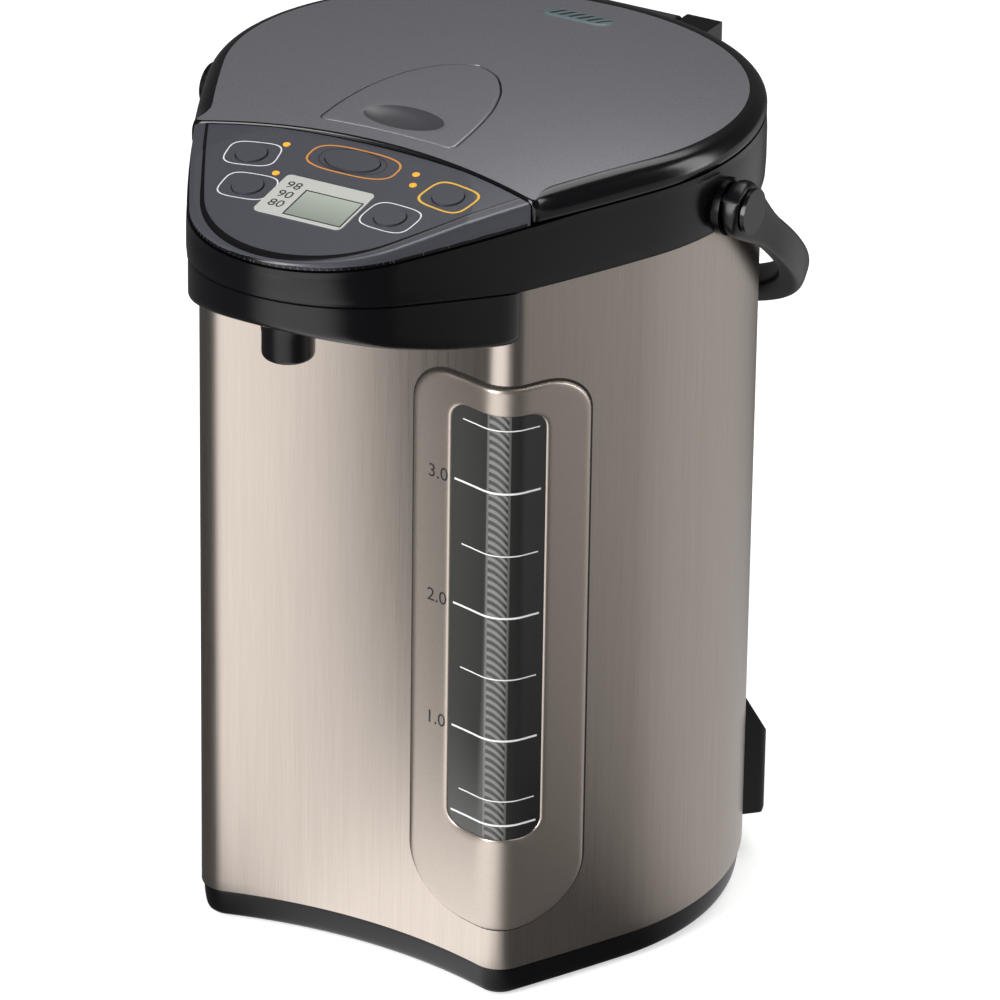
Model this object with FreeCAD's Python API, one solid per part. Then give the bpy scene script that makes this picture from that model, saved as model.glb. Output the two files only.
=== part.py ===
import FreeCAD, Part
import math
import os

from FreeCAD import Vector

# Electric thermo pot, about 4 litres. Millimetres, +Z up, front towards -Y.
# The origin is where the axis of the round rear half of the body meets the table.

# Steel body, seen from above
body_r = 95.5            # rounded rear half
side_turn_deg = -26.5    # where the rear arc hands over to the flatter side arc
corner_x = 59.6          # sharp front corner before rounding
corner_y = -91.9
corner_round = 10.6
scoop_depth = 10.0       # how far the front is hollowed for a cup
shell_wall = 0.8
base_height = 11.8       # black base under the steel
shell_top = 270.5        # parting line between the steel and the head

# Base
foot_h = 2.0
foot_r = 9.0
foot_spots = [(0, 0), (-50, -62), (50, -62), (-52, 52), (52, 52)]
base_low = 1.0           # lower edge of the skirt over the table
base_inset = 0.4
base_wall = 2.4
base_round = 4.0
cover_t = 2.0
vent_first_y = 16.0      # first of six air slots under the board
lip_h = 5.2
slide_fit = 0.05         # lips that slip inside the steel shell
screw_r = 1.5
screw_head_r = 3.0
screw_head_h = 1.2
screw_spots = [(-30, -66), (30, -66), (-66, 30), (66, 30)]

# Head
head_over = 1.1          # how far the head stands proud of the steel
head_r = body_r + head_over
head_turn_deg = -24.0
nose_r = 48.0
nose_centre_y = -104.0
head_wall = 2.4
lid_rise = 38.0
lid_apex_z = shell_top + lid_rise
dome_apex_y = -22.0
dome_r_long = 562.0      # crown of the lid from front to back
dome_r_cross = 714.0     # crown from side to side
lid_edge_round = 6.0
seam_gap = 0.5           # shadow gap between lid, panel and collar
collar_h = 23.3
seam_z = shell_top + collar_h   # top of the collar under the lid
nose_seam_y = -72.0      # from here to the nose the collar dips
nose_seam_slope = 0.05
parting_y = -88.0        # the lower parting line climbs from here to the nose
parting_slope = 0.13
flange_z = shell_top + 1.5
flange_t = 3.0

# Control panel
panel_rear_y = -75.5     # middle of the arc between lid and panel
panel_arc_r = 241.0
panel_drop = 4.1         # rear edge of the panel under the crown
panel_rear_z = lid_apex_z - panel_drop
panel_slope = 0.163
panel_inset = 0.9
panel_wall = 2.4
panel_round = 1.6
button_gap = 0.35
button_proud = 0.6
button_travel = 0.8
flange_grow = 1.3
buttons = {              # x, y, half width, half depth
    "dispense_button": (-1.5, -87.4, 10.0, 6.0),
    "reboil_button": (-35.6, -96.2, 5.3, 5.3),
    "temperature_button": (-26.2, -114.2, 5.3, 5.3),
    "unlock_button": (39.3, -94.4, 5.3, 5.3),
    "timer_button": (27.8, -112.8, 5.3, 5.3),
}
lamp_r = 1.3
lamps = [(22.3, -86.2), (24.7, -92.4), (-27.6, -86.6), (-21.6, -103.6)]
lcd_x = (-17.2, 16.6)
lcd_y = (-126.4, -102.6)
lcd_t = 1.6
board_z = seam_z - 9.6
board_t = 1.6

# Beak and spout
beak_h = 20.0
beak_low_z = shell_top - beak_h   # underside of the beak at the body corners
beak_slope = 0.25
beak_gap = 0.4
beak_rear_y = -84.0
spout_y = -131.5
spout_r = 9.0
spout_bore_r = 6.0
spout_low_z = beak_low_z - 1.5
spout_high_z = shell_top + 0.5

# Vessel
vessel_y = 5.5
liner_clear = 13.5       # from the inside of the vessel to the rear of the steel
liner_r = body_r - liner_clear
liner_wall = 0.6
vacuum_gap = 2.3
jacket_r = liner_r + liner_wall + vacuum_gap
jacket_wall = 0.5
vessel_floor_z = 54.9    # where the scale on the gauge starts
jacket_low_z = 50.0
gasket_t = 1.0
mouth_r = liner_r - 10.0
mouth_top_z = flange_z + 9.0
heater_r = liner_r - 26.0
heater_t = 6.0

# Gauge on the right front corner
gauge_dir_deg = -69.0
gauge_mid = 19.6
gauge_half = 29.6
gauge_low_z = 28.0
gauge_head = 36.5        # from the top of the frame to the parting line
gauge_high_z = shell_top - gauge_head
gauge_proud = 1.7
glass_mid = 20.0
glass_half = 15.6
glass_low_z = 63.5
glass_high_z = gauge_high_z - 10.0
tube_r = 5.5
tube_wall = 1.0
tube_x = 51.0
tube_y = -79.0
tube_low_z = 50.0
tube_high_z = gauge_high_z + 4.0
pipe_r = 3.6
pipe_bore_r = 2.4
pipe_z = seam_z - 14.4

# Pump under the vessel
pump_x = 36.0
pump_y = -46.0
pump_r = 16.0
pump_low_z = 30.0
pump_high_z = 43.0
hose_r = 4.5
motor_r = 13.5
shaft_r = 1.5
running_fit = 0.05

# Plug socket at the right rear
socket_deg = 45.0
socket_proud = 6.5
socket_face = body_r + socket_proud
socket_half = 22.0

# Handle
pivot_y = -5.0
pivot_z = seam_z - 15.8
boss_r = 10.0
boss_out = head_r + 2.0
handle_fit = 0.6
handle_t = 6.4
handle_in = boss_out + handle_fit
handle_out = handle_in + handle_t
handle_straight = 28.0
handle_reach_in = 106.0
handle_reach_out = 118.0
handle_depth = 12.0
handle_drop_deg = 38.0
handle_round = 2.6
pivot_r = 4.0
cap_r = 8.0
cap_t = 1.5
cap_gap = 0.35

# Lid hinge, lever and latch
hinge_y = body_r + 5.5
hinge_z = seam_z - 5.2
hinge_pin_r = 2.5
knuckle_r = 5.0
knuckle_half = 20.0
hinge_half = 34.5
hinge_top_z = hinge_z + 3.6
hinge_front_y = hinge_y - 17.0
hinge_back_y = hinge_y + 11.0
hinge_low_z = flange_z + 5.5
side_gap = 0.6
lid_base_t = 2.0
lid_post_spots = [(18.6 - head_r, 20), (head_r - 18.6, 20), (28.6 - head_r, -40), (head_r - 28.6, -40)]
plug_fit = 3.0
plug_r = mouth_r - plug_fit
plug_low_z = shell_top - 4.5
lid_gasket_r = mouth_r - 0.8
lever_half = 26.0
lever_front_y = -68.0
lever_rear_y = -5.0
lever_gap = 0.6
lever_t = 3.0
lever_pin_y = -47.0
lever_pin_z = lid_apex_z - 5.5
latch_half = 8.0
latch_z = panel_rear_z - 8.4
latch_t = 1.3
latch_tip_y = panel_rear_y - 3.8
latch_tail_y = panel_rear_y + 19.5
spring_end_y = lever_pin_y + 1.0
vent_y = 65.0
vent_half = 13.5
vent_end_r = 6.0
vent_slots = 6
duct_r = 5.2
reach = 400.0
head_low = shell_top - 30.0   # cuts in the head start below this and end above head_high
head_high = lid_apex_z + 20.0


def polar(radius, degrees):
    a = math.radians(degrees)
    return Vector(radius * math.cos(a), radius * math.sin(a), 0)


def arc_through(centre, radius, start, end):
    """Short arc of a circle from the direction of start to the direction of end."""
    a = (start - centre).normalize()
    b = (end - centre).normalize()
    mid = (a + b).normalize()
    return Part.Arc(centre + a * radius, centre + mid * radius, centre + b * radius).toShape()


def closed_outline(halves, z):
    """A closed wire from the arcs of the right half, mirrored to the left."""
    edges = list(halves) + [e.mirror(Vector(), Vector(1, 0, 0)) for e in halves]
    wire = Part.Wire(Part.__sortEdges__(edges))
    wire.translate(Vector(0, 0, z))
    return wire


def circle_meet(c1, r1, c2, r2, near):
    """The crossing of two circles that is nearest to a point."""
    d = c2.sub(c1)
    dist = d.Length
    along = (r1 * r1 - r2 * r2 + dist * dist) / (2 * dist)
    across = math.sqrt(max(0.0, r1 * r1 - along * along))
    ux = d.normalize()
    uy = Vector(-ux.y, ux.x, 0)
    options = [c1 + ux * along + uy * across, c1 + ux * along - uy * across]
    return min(options, key=lambda p: p.sub(near).Length)


def body_outline(grow, z):
    """Outline of the steel body: rear arc, side arc, round corner, hollow front."""
    turn = polar(body_r, side_turn_deg)
    corner = Vector(corner_x, corner_y, 0)
    inward = polar(-1, side_turn_deg)
    chord = corner.sub(turn)
    side_r = chord.dot(chord) / (2 * chord.dot(inward))
    side_centre = turn + inward * side_r
    front_r = (corner_x ** 2 + scoop_depth ** 2) / (2 * scoop_depth)
    front_centre = Vector(0, corner_y + scoop_depth - front_r, 0)
    round_centre = circle_meet(side_centre, side_r - corner_round,
                               front_centre, front_r + corner_round, corner)
    hand_over = polar(body_r + grow, side_turn_deg)
    side_end = side_centre + (round_centre - side_centre).normalize() * (side_r + grow)
    front_start = front_centre + (round_centre - front_centre).normalize() * (front_r - grow)
    front_mid = front_centre + Vector(0, front_r - grow, 0)
    return closed_outline([
        arc_through(Vector(), body_r + grow, Vector(0, body_r, 0), hand_over),
        arc_through(side_centre, side_r + grow, hand_over, side_end),
        arc_through(round_centre, corner_round + grow, side_end, front_start),
        arc_through(front_centre, front_r - grow, front_start, front_mid),
    ], z)


def head_outline(grow, z):
    """Egg-shaped outline of the head: rear arc, side arc and nose arc, all tangent."""
    nose = Vector(0, nose_centre_y, 0)
    lean = 2 * math.sin(math.radians(-head_turn_deg)) * (-nose_centre_y)
    slack = head_r - nose_r
    extra = (nose_centre_y ** 2 - slack ** 2) / max(1.0, 2 * slack - lean)
    side_centre = polar(-extra, head_turn_deg)
    hand_over = polar(head_r + grow, head_turn_deg)
    side_r = head_r + extra + grow
    nose_start = side_centre + (nose - side_centre).normalize() * side_r
    return closed_outline([
        arc_through(Vector(), head_r + grow, Vector(0, head_r, 0), hand_over),
        arc_through(side_centre, side_r, hand_over, nose_start),
        arc_through(nose, nose_r + grow, nose_start, nose + Vector(0, -nose_r, 0)),
    ], z)


def prism(wire, height):
    return Part.Face(wire).extrude(Vector(0, 0, height))


def body_slab(grow, z0, z1):
    return prism(body_outline(grow, z0), z1 - z0)


def head_slab(grow, z0, z1):
    return prism(head_outline(grow, z0), z1 - z0)


def box(x0, x1, y0, y1, z0, z1):
    return Part.makeBox(x1 - x0, y1 - y0, z1 - z0, Vector(x0, y0, z0))


def rod(radius, length, start, axis=(0, 0, 1)):
    return Part.makeCylinder(radius, length, Vector(*start), Vector(*axis))


def tube(outer, inner, length, start, axis=(0, 0, 1)):
    return rod(outer, length, start, axis).cut(rod(inner, length, start, axis))


def fuse(shapes):
    out = shapes[0].multiFuse(shapes[1:]) if len(shapes) > 1 else shapes[0]
    return out.removeSplitter()


def softened(shape, radius, chosen):
    edges = [e for e in shape.Edges if chosen(e)]
    return shape.makeFillet(radius, edges) if edges else shape


def turned(points, centre_y=0.0):
    """A solid turned about a vertical axis at y = centre_y, from (radius, z) points."""
    wire = Part.makePolygon([Vector(r, 0, z) for r, z in points + points[:1]])
    solid = Part.Face(wire).revolve(Vector(), Vector(0, 0, 1), 360)
    solid.translate(Vector(0, centre_y, 0))
    return solid


def half_space(z_at, y_at, slope, below):
    """Everything within reach under or over a plane that climbs by slope towards +Y."""
    z0 = z_at + slope * (-reach - y_at)
    z1 = z_at + slope * (reach - y_at)
    end = -reach if below else 2 * reach
    wire = Part.makePolygon([Vector(-reach, -reach, z0), Vector(-reach, reach, z1),
                             Vector(-reach, reach, end), Vector(-reach, -reach, end),
                             Vector(-reach, -reach, z0)])
    return Part.Face(wire).extrude(Vector(2 * reach, 0, 0))


def dome(drop):
    """Everything under the crowned top of the head, lowered by drop."""
    half = 140.0
    top = lid_apex_z - drop
    edge_z = top - dome_r_cross + math.sqrt(dome_r_cross ** 2 - half ** 2)
    low = top - 90.0
    y = dome_apex_y
    arc = Part.Arc(Vector(-half, y, edge_z), Vector(0, y, top), Vector(half, y, edge_z)).toShape()
    sides = Part.makePolygon([Vector(half, y, edge_z), Vector(half, y, low),
                              Vector(-half, y, low), Vector(-half, y, edge_z)])
    face = Part.Face(Part.Wire([arc] + sides.Edges))
    centre = Vector(0, y, lid_apex_z - dome_r_long)
    sweep = 20.0
    face.rotate(centre, Vector(1, 0, 0), -sweep)
    return face.revolve(centre, Vector(1, 0, 0), 2 * sweep)


def before_arc(gap):
    """Everything in front of the arc that parts the lid from the control panel."""
    return rod(panel_arc_r - gap, 2 * reach, (0, panel_rear_y - panel_arc_r, 0))


def head_block(inset):
    low = shell_top - 20.0
    return head_slab(-inset, low, low + 90.0).common(dome(inset))


def seam_half_space(rise, below):
    return half_space(seam_z - 0.2 + rise, nose_seam_y, nose_seam_slope, below)


def panel_half_space(drop):
    return half_space(panel_rear_z - drop, panel_rear_y, panel_slope, True)


def panel_z(y):
    return panel_rear_z + panel_slope * (y - panel_rear_y)


def on_panel(shape, x, y):
    """Places a shape drawn round the origin on the tilted panel face."""
    shape = shape.copy()
    shape.rotate(Vector(), Vector(1, 0, 0), math.degrees(math.atan(panel_slope)))
    shape.translate(Vector(x, y, panel_z(y)))
    return shape


def oval(a, b, z0, z1):
    """An upright prism with an elliptical outline, half axes a and b."""
    if a > b:
        edge = Part.Ellipse(Vector(), a, b).toShape()
    else:
        edge = Part.Circle(Vector(), Vector(0, 0, 1), a).toShape()
    edge.translate(Vector(0, 0, z0))
    return Part.Face(Part.Wire(edge)).extrude(Vector(0, 0, z1 - z0))


def capsule(x, y, half, radius, z0, z1):
    """An upright prism with round ends, long along X."""
    ends = [rod(radius, z1 - z0, (x + s * half, y, z0)) for s in (-1, 1)]
    return fuse([box(x - half, x + half, y - radius, y + radius, z0, z1)] + ends)


def gauge_block(middle, half, z0, z1, low_round, high_round):
    """A rounded rectangle facing the right front corner, deep enough to cut the wall."""
    depth = 70.0
    block = box(middle - half, middle + half, -150.0, -150.0 + depth + 20, z0, z1)
    for z, r in ((z0, low_round), (z1, high_round)):
        block = softened(block, r, lambda e: abs(e.BoundBox.ZMin - z) < 0.01
                         and e.BoundBox.ZLength < 0.01 and e.BoundBox.YLength > 1)
    block.rotate(Vector(), Vector(0, 0, 1), 90.0 + gauge_dir_deg)
    return block


def save(name, shape):
    solids = shape.Solids
    shape = Part.makeCompound(solids) if len(solids) > 1 else solids[0]
    bad = [s for s in solids if not s.isValid() or s.Volume <= 0]
    print(f"{name:20s} solids {len(solids)} volume {shape.Volume:10.1f} {'BAD' if bad else ''}")
    shape.exportStep(os.path.join("parts", name + ".step"))


os.makedirs("parts", exist_ok=True)


def build_base():
    web_z = base_height - cover_t
    skirt = body_slab(-base_inset, base_low, base_height)
    skirt = softened(skirt, base_round, lambda e: e.BoundBox.ZMax < base_low + 0.01)
    inner = -base_inset - base_wall
    skirt = skirt.cut(body_slab(inner, 0, web_z))
    lip = body_slab(-shell_wall - slide_fit, base_height, base_height + lip_h).cut(
        body_slab(inner, base_height, base_height + lip_h))
    cover_z = foot_h
    top_z = cover_z + cover_t
    bosses = [rod(4.0, web_z - top_z, (x, y, top_z)) for x, y in screw_spots]
    skirt = fuse([skirt, lip] + bosses)
    screws = []
    cover = body_slab(inner, cover_z, top_z)
    for x, y in screw_spots:
        shank = rod(screw_r, web_z - cover_z, (x, y, cover_z))
        head = rod(screw_head_r, screw_head_h, (x, y, cover_z - screw_head_h))
        screws.append(fuse([head, shank]))
        cover = cover.cut(shank)
        skirt = skirt.cut(shank)
    skirt = skirt.cut(rod(20.0, 10, (0, 20, web_z - 1)))
    for i in range(6):
        cover = cover.cut(capsule(0, vent_first_y + 9 * i, 18.0, 1.6, cover_z - 1, top_z + 1))
    feet = Part.makeCompound([rod(foot_r, foot_h, (x, y, 0)) for x, y in foot_spots])
    save("base_skirt", skirt)
    save("base_cover", cover)
    save("base_feet", feet)
    save("base_screws", Part.makeCompound(screws))


def socket_local(shape):
    shape.rotate(Vector(), Vector(0, 0, 1), socket_deg)
    return shape


def build_socket():
    deep = socket_face - 20.0
    outline = [(deep - 2, 15), (socket_face - 1.5, 15), (socket_face, 17), (socket_face, 47),
               (socket_face - 8, 61), (deep - 2, 61)]
    outline.append(outline[0])
    profile = Part.makePolygon([Vector(x, -socket_half, z) for x, z in outline])
    hood = Part.Face(profile).extrude(Vector(0, 2 * socket_half, 0))
    hood = softened(hood, 3.0, lambda e: e.BoundBox.XMin > socket_face - 3 and e.BoundBox.YLength < 0.01
                    and e.BoundBox.ZLength > 5)
    hood = socket_local(hood).cut(body_slab(0, 0, 100))
    pod = socket_local(box(deep, deep + 15, -16, 16, 22, 46))
    pocket = socket_local(box(deep + 2, deep + 28, -14, 14, 24, 44))
    opening = socket_local(box(deep, deep + 28, -16, 16, 22, 46))
    housing = fuse([hood, pod]).cut(pocket)
    pins = [socket_local(rod(2.0, 12.0, (deep, y, 34), (1, 0, 0))) for y in (-6, 6)]
    magnet = socket_local(box(deep + 2, deep + 3.5, -12, 12, 27, 41))
    for pin in pins:
        housing = housing.cut(pin)
        magnet = magnet.cut(pin)
    save("socket_housing", housing)
    save("socket_pins", Part.makeCompound(pins))
    save("socket_magnet", magnet)
    return opening


def build_shell(socket_opening):
    glass = gauge_block(glass_mid, glass_half, glass_low_z, glass_high_z, 6.0, 6.0)
    frame = gauge_block(gauge_mid, gauge_half, gauge_low_z, gauge_high_z, 22.0, 14.0)
    ring = body_slab(0, base_height, shell_top).cut(body_slab(-shell_wall, base_height, shell_top))
    save("outer_shell", ring.cut(glass).cut(socket_opening))
    skin = body_slab(gauge_proud, gauge_low_z - 5, gauge_high_z + 5).cut(
        body_slab(0, gauge_low_z - 6, gauge_high_z + 6))
    save("window_bezel", skin.common(frame).cut(glass))
    pane = body_slab(gauge_proud - 0.4, glass_low_z - 5, glass_high_z + 5).cut(
        body_slab(-shell_wall, glass_low_z - 6, glass_high_z + 6))
    save("gauge_window", pane.common(glass))
    tray_out = gauge_block(glass_mid, glass_half + 1.0, glass_low_z - 4, glass_high_z + 4, 3.0, 3.0)
    tray_in = gauge_block(glass_mid, glass_half, glass_low_z - 3, glass_high_z + 3, 2.0, 2.0)
    floor_n = tube_x * polar(1, gauge_dir_deg).x + tube_y * polar(1, gauge_dir_deg).y - tube_r - 1.5
    keep = box(-reach, reach, -reach, -floor_n + 1.0, 0, reach)
    hollow = box(-reach, reach, -reach, -floor_n, 0, reach)
    for part in (keep, hollow):
        part.rotate(Vector(), Vector(0, 0, 1), 90.0 + gauge_dir_deg)
    inside = body_slab(-shell_wall, glass_low_z - 10, glass_high_z + 10)
    gauge_tube = tube(tube_r, tube_r - tube_wall, tube_high_z - tube_low_z, (tube_x, tube_y, tube_low_z))
    solid_tube = rod(tube_r, tube_high_z - tube_low_z, (tube_x, tube_y, tube_low_z))
    tray = tray_out.common(keep).cut(tray_in.common(hollow)).common(inside).cut(solid_tube)
    save("gauge_backing", tray)
    save("gauge_tube", gauge_tube)


def build_vessel():
    hose_hole = rod(hose_r, 20.0, (pump_x, pump_y, jacket_low_z - 8))
    inner_hole = rod(hose_r - 1.5, 20.0, (pump_x, pump_y, jacket_low_z - 8))
    floor = vessel_floor_z
    rim = flange_z - gasket_t
    liner = turned([(0, floor - liner_wall), (liner_r + liner_wall, floor - liner_wall),
                    (liner_r + liner_wall, rim - liner_wall), (jacket_r, rim - liner_wall),
                    (jacket_r, rim), (liner_r, rim), (liner_r, floor), (0, floor)], vessel_y)
    save("vessel_liner", liner.cut(inner_hole))
    top = rim - liner_wall
    jacket = turned([(heater_r + 1, jacket_low_z), (jacket_r, jacket_low_z), (jacket_r, top),
                     (jacket_r - jacket_wall, top), (jacket_r - jacket_wall, jacket_low_z + jacket_wall),
                     (heater_r + 1, jacket_low_z + jacket_wall)], vessel_y)
    save("vessel_jacket", jacket.cut(hose_hole))
    save("vessel_gasket", turned([(liner_r - 4 + 2, rim), (jacket_r - 0.5, rim), (jacket_r - 0.5, flange_z),
                                  (liner_r - 2, flange_z)], vessel_y))
    heater_z = floor - liner_wall - heater_t
    plate = rod(heater_r, heater_t, (0, vessel_y, heater_z)).cut(
        rod(hose_r + 3, 40.0, (pump_x, pump_y, heater_z - 10)))
    groove = turned([(38, heater_z - 1), (46, heater_z - 1), (46, heater_z + 2), (38, heater_z + 2)], vessel_y)
    save("heater_plate", plate.cut(groove))
    save("thermostat", fuse([rod(8.0, 4.0, (0, vessel_y, heater_z - 4)),
                             box(-11, 11, vessel_y - 3, vessel_y + 3, heater_z - 5.5, heater_z - 4)]))
    ring = [(mouth_r, flange_z - 5), (mouth_r + 4, flange_z - 5), (mouth_r + 4, flange_z + flange_t),
            (mouth_r + 14, flange_z + flange_t), (mouth_r + 14, flange_z + flange_t + 2),
            (mouth_r + 4, flange_z + flange_t + 2), (mouth_r + 4, mouth_top_z), (mouth_r, mouth_top_z)]
    mouth = turned(ring, vessel_y)
    screws = []
    for i in range(4):
        spot = polar(mouth_r + 10.5, 45 + 90 * i) + Vector(0, vessel_y, 0)
        low = flange_z + 0.5
        head_z = flange_z + flange_t + 2
        shank = rod(1.2, head_z - low, (spot.x, spot.y, low))
        screws.append(fuse([shank, rod(2.4, 1.1, (spot.x, spot.y, head_z))]))
        mouth = mouth.cut(shank)
    save("mouth_ring", mouth)
    save("mouth_screws", Part.makeCompound(screws))
    return screws


def build_pump():
    top = vessel_floor_z - liner_wall
    save("outlet_hose", tube(hose_r, hose_r - 1.5, top - pump_high_z, (pump_x, pump_y, pump_high_z)))
    wall = 2.0
    case = rod(pump_r, pump_high_z - pump_low_z, (pump_x, pump_y, pump_low_z))
    room = rod(pump_r - wall, pump_high_z - pump_low_z - 2 * wall, (pump_x, pump_y, pump_low_z + wall))
    axle = rod(shaft_r, 8.0, (pump_x, pump_y, pump_low_z + wall))
    run = Vector(tube_x - pump_x, tube_y - pump_y, 0)
    z = pump_low_z + 6.5
    start = (pump_x, pump_y, z)
    way = (run.x, run.y, 0)
    port = rod(pipe_bore_r, pump_r + 4, start, way)
    case = fuse([case.cut(room).cut(rod(3.0, 10, (pump_x, pump_y, pump_high_z - 5))), axle])
    pipe = fuse([rod(pipe_r, run.Length, start, way), rod(pipe_r, tube_low_z - z, (tube_x, tube_y, z)),
                 Part.makeSphere(pipe_r, Vector(tube_x, tube_y, z))])
    hollow = fuse([rod(pipe_bore_r, run.Length, start, way),
                   rod(pipe_bore_r, tube_low_z - z, (tube_x, tube_y, z)),
                   Part.makeSphere(pipe_bore_r, Vector(tube_x, tube_y, z))])
    pipe = pipe.cut(rod(pump_r, 60, (pump_x, pump_y, 0))).cut(hollow)
    save("pump_housing", case.cut(port.cut(rod(pump_r - wall, 60, (pump_x, pump_y, 0)))))
    save("feed_pipe", pipe)
    low = pump_low_z + wall + 0.8
    blades = [box(0, pump_r - wall - 1.2, -0.8, 0.8, 0, 5.0) for _ in range(6)]
    for i, blade in enumerate(blades):
        blade.rotate(Vector(), Vector(0, 0, 1), 60 * i)
        blade.translate(Vector(pump_x, pump_y, low))
    disc = rod(pump_r - wall - 1.2, 1.2, (pump_x, pump_y, low))
    hub = rod(3.6, 6.0, (pump_x, pump_y, low))
    save("pump_impeller", fuse([disc, hub] + blades).cut(
        rod(shaft_r + running_fit, 20, (pump_x, pump_y, low - 5))))
    floor_z = base_height
    can = rod(motor_r, pump_low_z - floor_z, (pump_x, pump_y, floor_z))
    room = rod(motor_r - 1.2, pump_low_z - floor_z - 1.5, (pump_x, pump_y, floor_z + 1.5))
    bearing = rod(3.4, 4.0, (pump_x, pump_y, floor_z + 1.5))
    can = fuse([can.cut(room), bearing]).cut(rod(shaft_r + running_fit, 10, (pump_x, pump_y, floor_z + 0.8)))
    save("pump_motor", can)
    rotor = fuse([rod(shaft_r, pump_low_z - 2.0 - floor_z - 1.0, (pump_x, pump_y, floor_z + 1.0)),
                  rod(motor_r - 2.4, 8.0, (pump_x, pump_y, floor_z + 7.0)),
                  rod(motor_r - 3.4, 1.5, (pump_x, pump_y, pump_low_z - 2.5))])
    save("motor_rotor", rotor)
    board = [box(-46, 12, 18, 66, floor_z + 4, floor_z + 5.6)]
    for x in (-42, 8):
        for y in (22, 62):
            board.append(rod(3.0, 4.0, (x, y, floor_z)))
    for x0, y0, w, d, h in ((-40, 28, 18, 20, 16), (-16, 26, 12, 12, 20), (-14, 44, 20, 14, 10),
                            (-38, 54, 20, 8, 8)):
        board.append(box(x0, x0 + w, y0, y0 + d, floor_z + 5.6, floor_z + 5.6 + h))
    save("power_board", fuse([b for b in board]).cut(rod(20.0, 3, (0, 20, floor_z - 1.5))))


def build_collar(mouth_screws):
    wall = head_slab(0, shell_top, seam_z).cut(head_slab(-head_wall, shell_top - 1, seam_z + 1))
    over = half_space(shell_top, parting_y, -parting_slope, False)
    under = seam_half_space(0.0, True)
    wall = wall.common(over).common(under)
    flange = body_slab(-shell_wall - slide_fit, flange_z, flange_z + flange_t)
    flange = fuse([flange, head_slab(-head_wall / 2, flange_z, flange_z + flange_t).common(
        box(-reach, reach, -86, reach, 0, reach))])
    lip = body_slab(-shell_wall - slide_fit, shell_top - 6, flange_z + 1).cut(
        body_slab(-shell_wall - slide_fit - 1.6, shell_top - 7, flange_z + 2))
    bosses = []
    for side in (-1, 1):
        x0 = head_r - 8 if side > 0 else -head_r + 8
        bosses.append(rod(boss_r, boss_out - head_r + 8, (x0, pivot_y, pivot_z), (side, 0, 0)))
    parts = fuse([wall, flange, lip] + bosses)
    parts = parts.cut(rod(mouth_r + 4, 40, (0, vessel_y, flange_z - 5)))
    parts = parts.cut(rod(jacket_r + 0.6, flange_z - shell_top + 7, (0, vessel_y, shell_top - 7)))
    low_boss = body_slab(0, 200, shell_top)
    parts = parts.cut(low_boss.cut(body_slab(-shell_wall, 199, shell_top + 1)))
    parts = parts.cut(rod(pipe_r, 60, (tube_x, tube_y, shell_top - 30)))
    for side in (-1, 1):
        parts = parts.cut(rod(pivot_r, 40, (side * (head_r - 16.6), pivot_y, pivot_z), (side, 0, 0)))
    parts = parts.cut(box(-hinge_half, hinge_half, hinge_front_y, head_r + reach, hinge_low_z, head_high))
    for s in mouth_screws:
        parts = parts.cut(s)
    save("collar", parts)
    pin_in = head_r - 6.6
    pins = [rod(pivot_r, handle_out + cap_gap - pin_in, (s * pin_in, pivot_y, pivot_z), (s, 0, 0)) for s in (-1, 1)]
    caps = [rod(cap_r, cap_t, (s * (handle_out + cap_gap), pivot_y, pivot_z), (s, 0, 0)) for s in (-1, 1)]
    save("handle_pivots", Part.makeCompound(pins))
    save("pivot_caps", Part.makeCompound(caps))


def build_hinge():
    upper = box(-hinge_half, hinge_half, hinge_front_y, hinge_back_y, hinge_low_z, hinge_top_z)
    lower = box(-hinge_half, hinge_half, hinge_front_y, hinge_back_y, shell_top - 8.5,
                hinge_low_z).cut(rod(head_r, 60, (0, 0, head_low)))
    block = fuse([upper, lower])
    block = softened(block, 5.0, lambda e: e.BoundBox.YMin > hinge_back_y - 0.1)
    room = box(-knuckle_half - side_gap, knuckle_half + side_gap, hinge_front_y - 4, hinge_back_y + 18,
               hinge_z - knuckle_r - 1.2, head_high)
    pin_way = rod(hinge_pin_r, 2 * hinge_half - 4, (-hinge_half + 2, hinge_y, hinge_z), (1, 0, 0))
    save("hinge_housing", block.cut(room).cut(pin_way))
    save("hinge_pin", pin_way)


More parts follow.
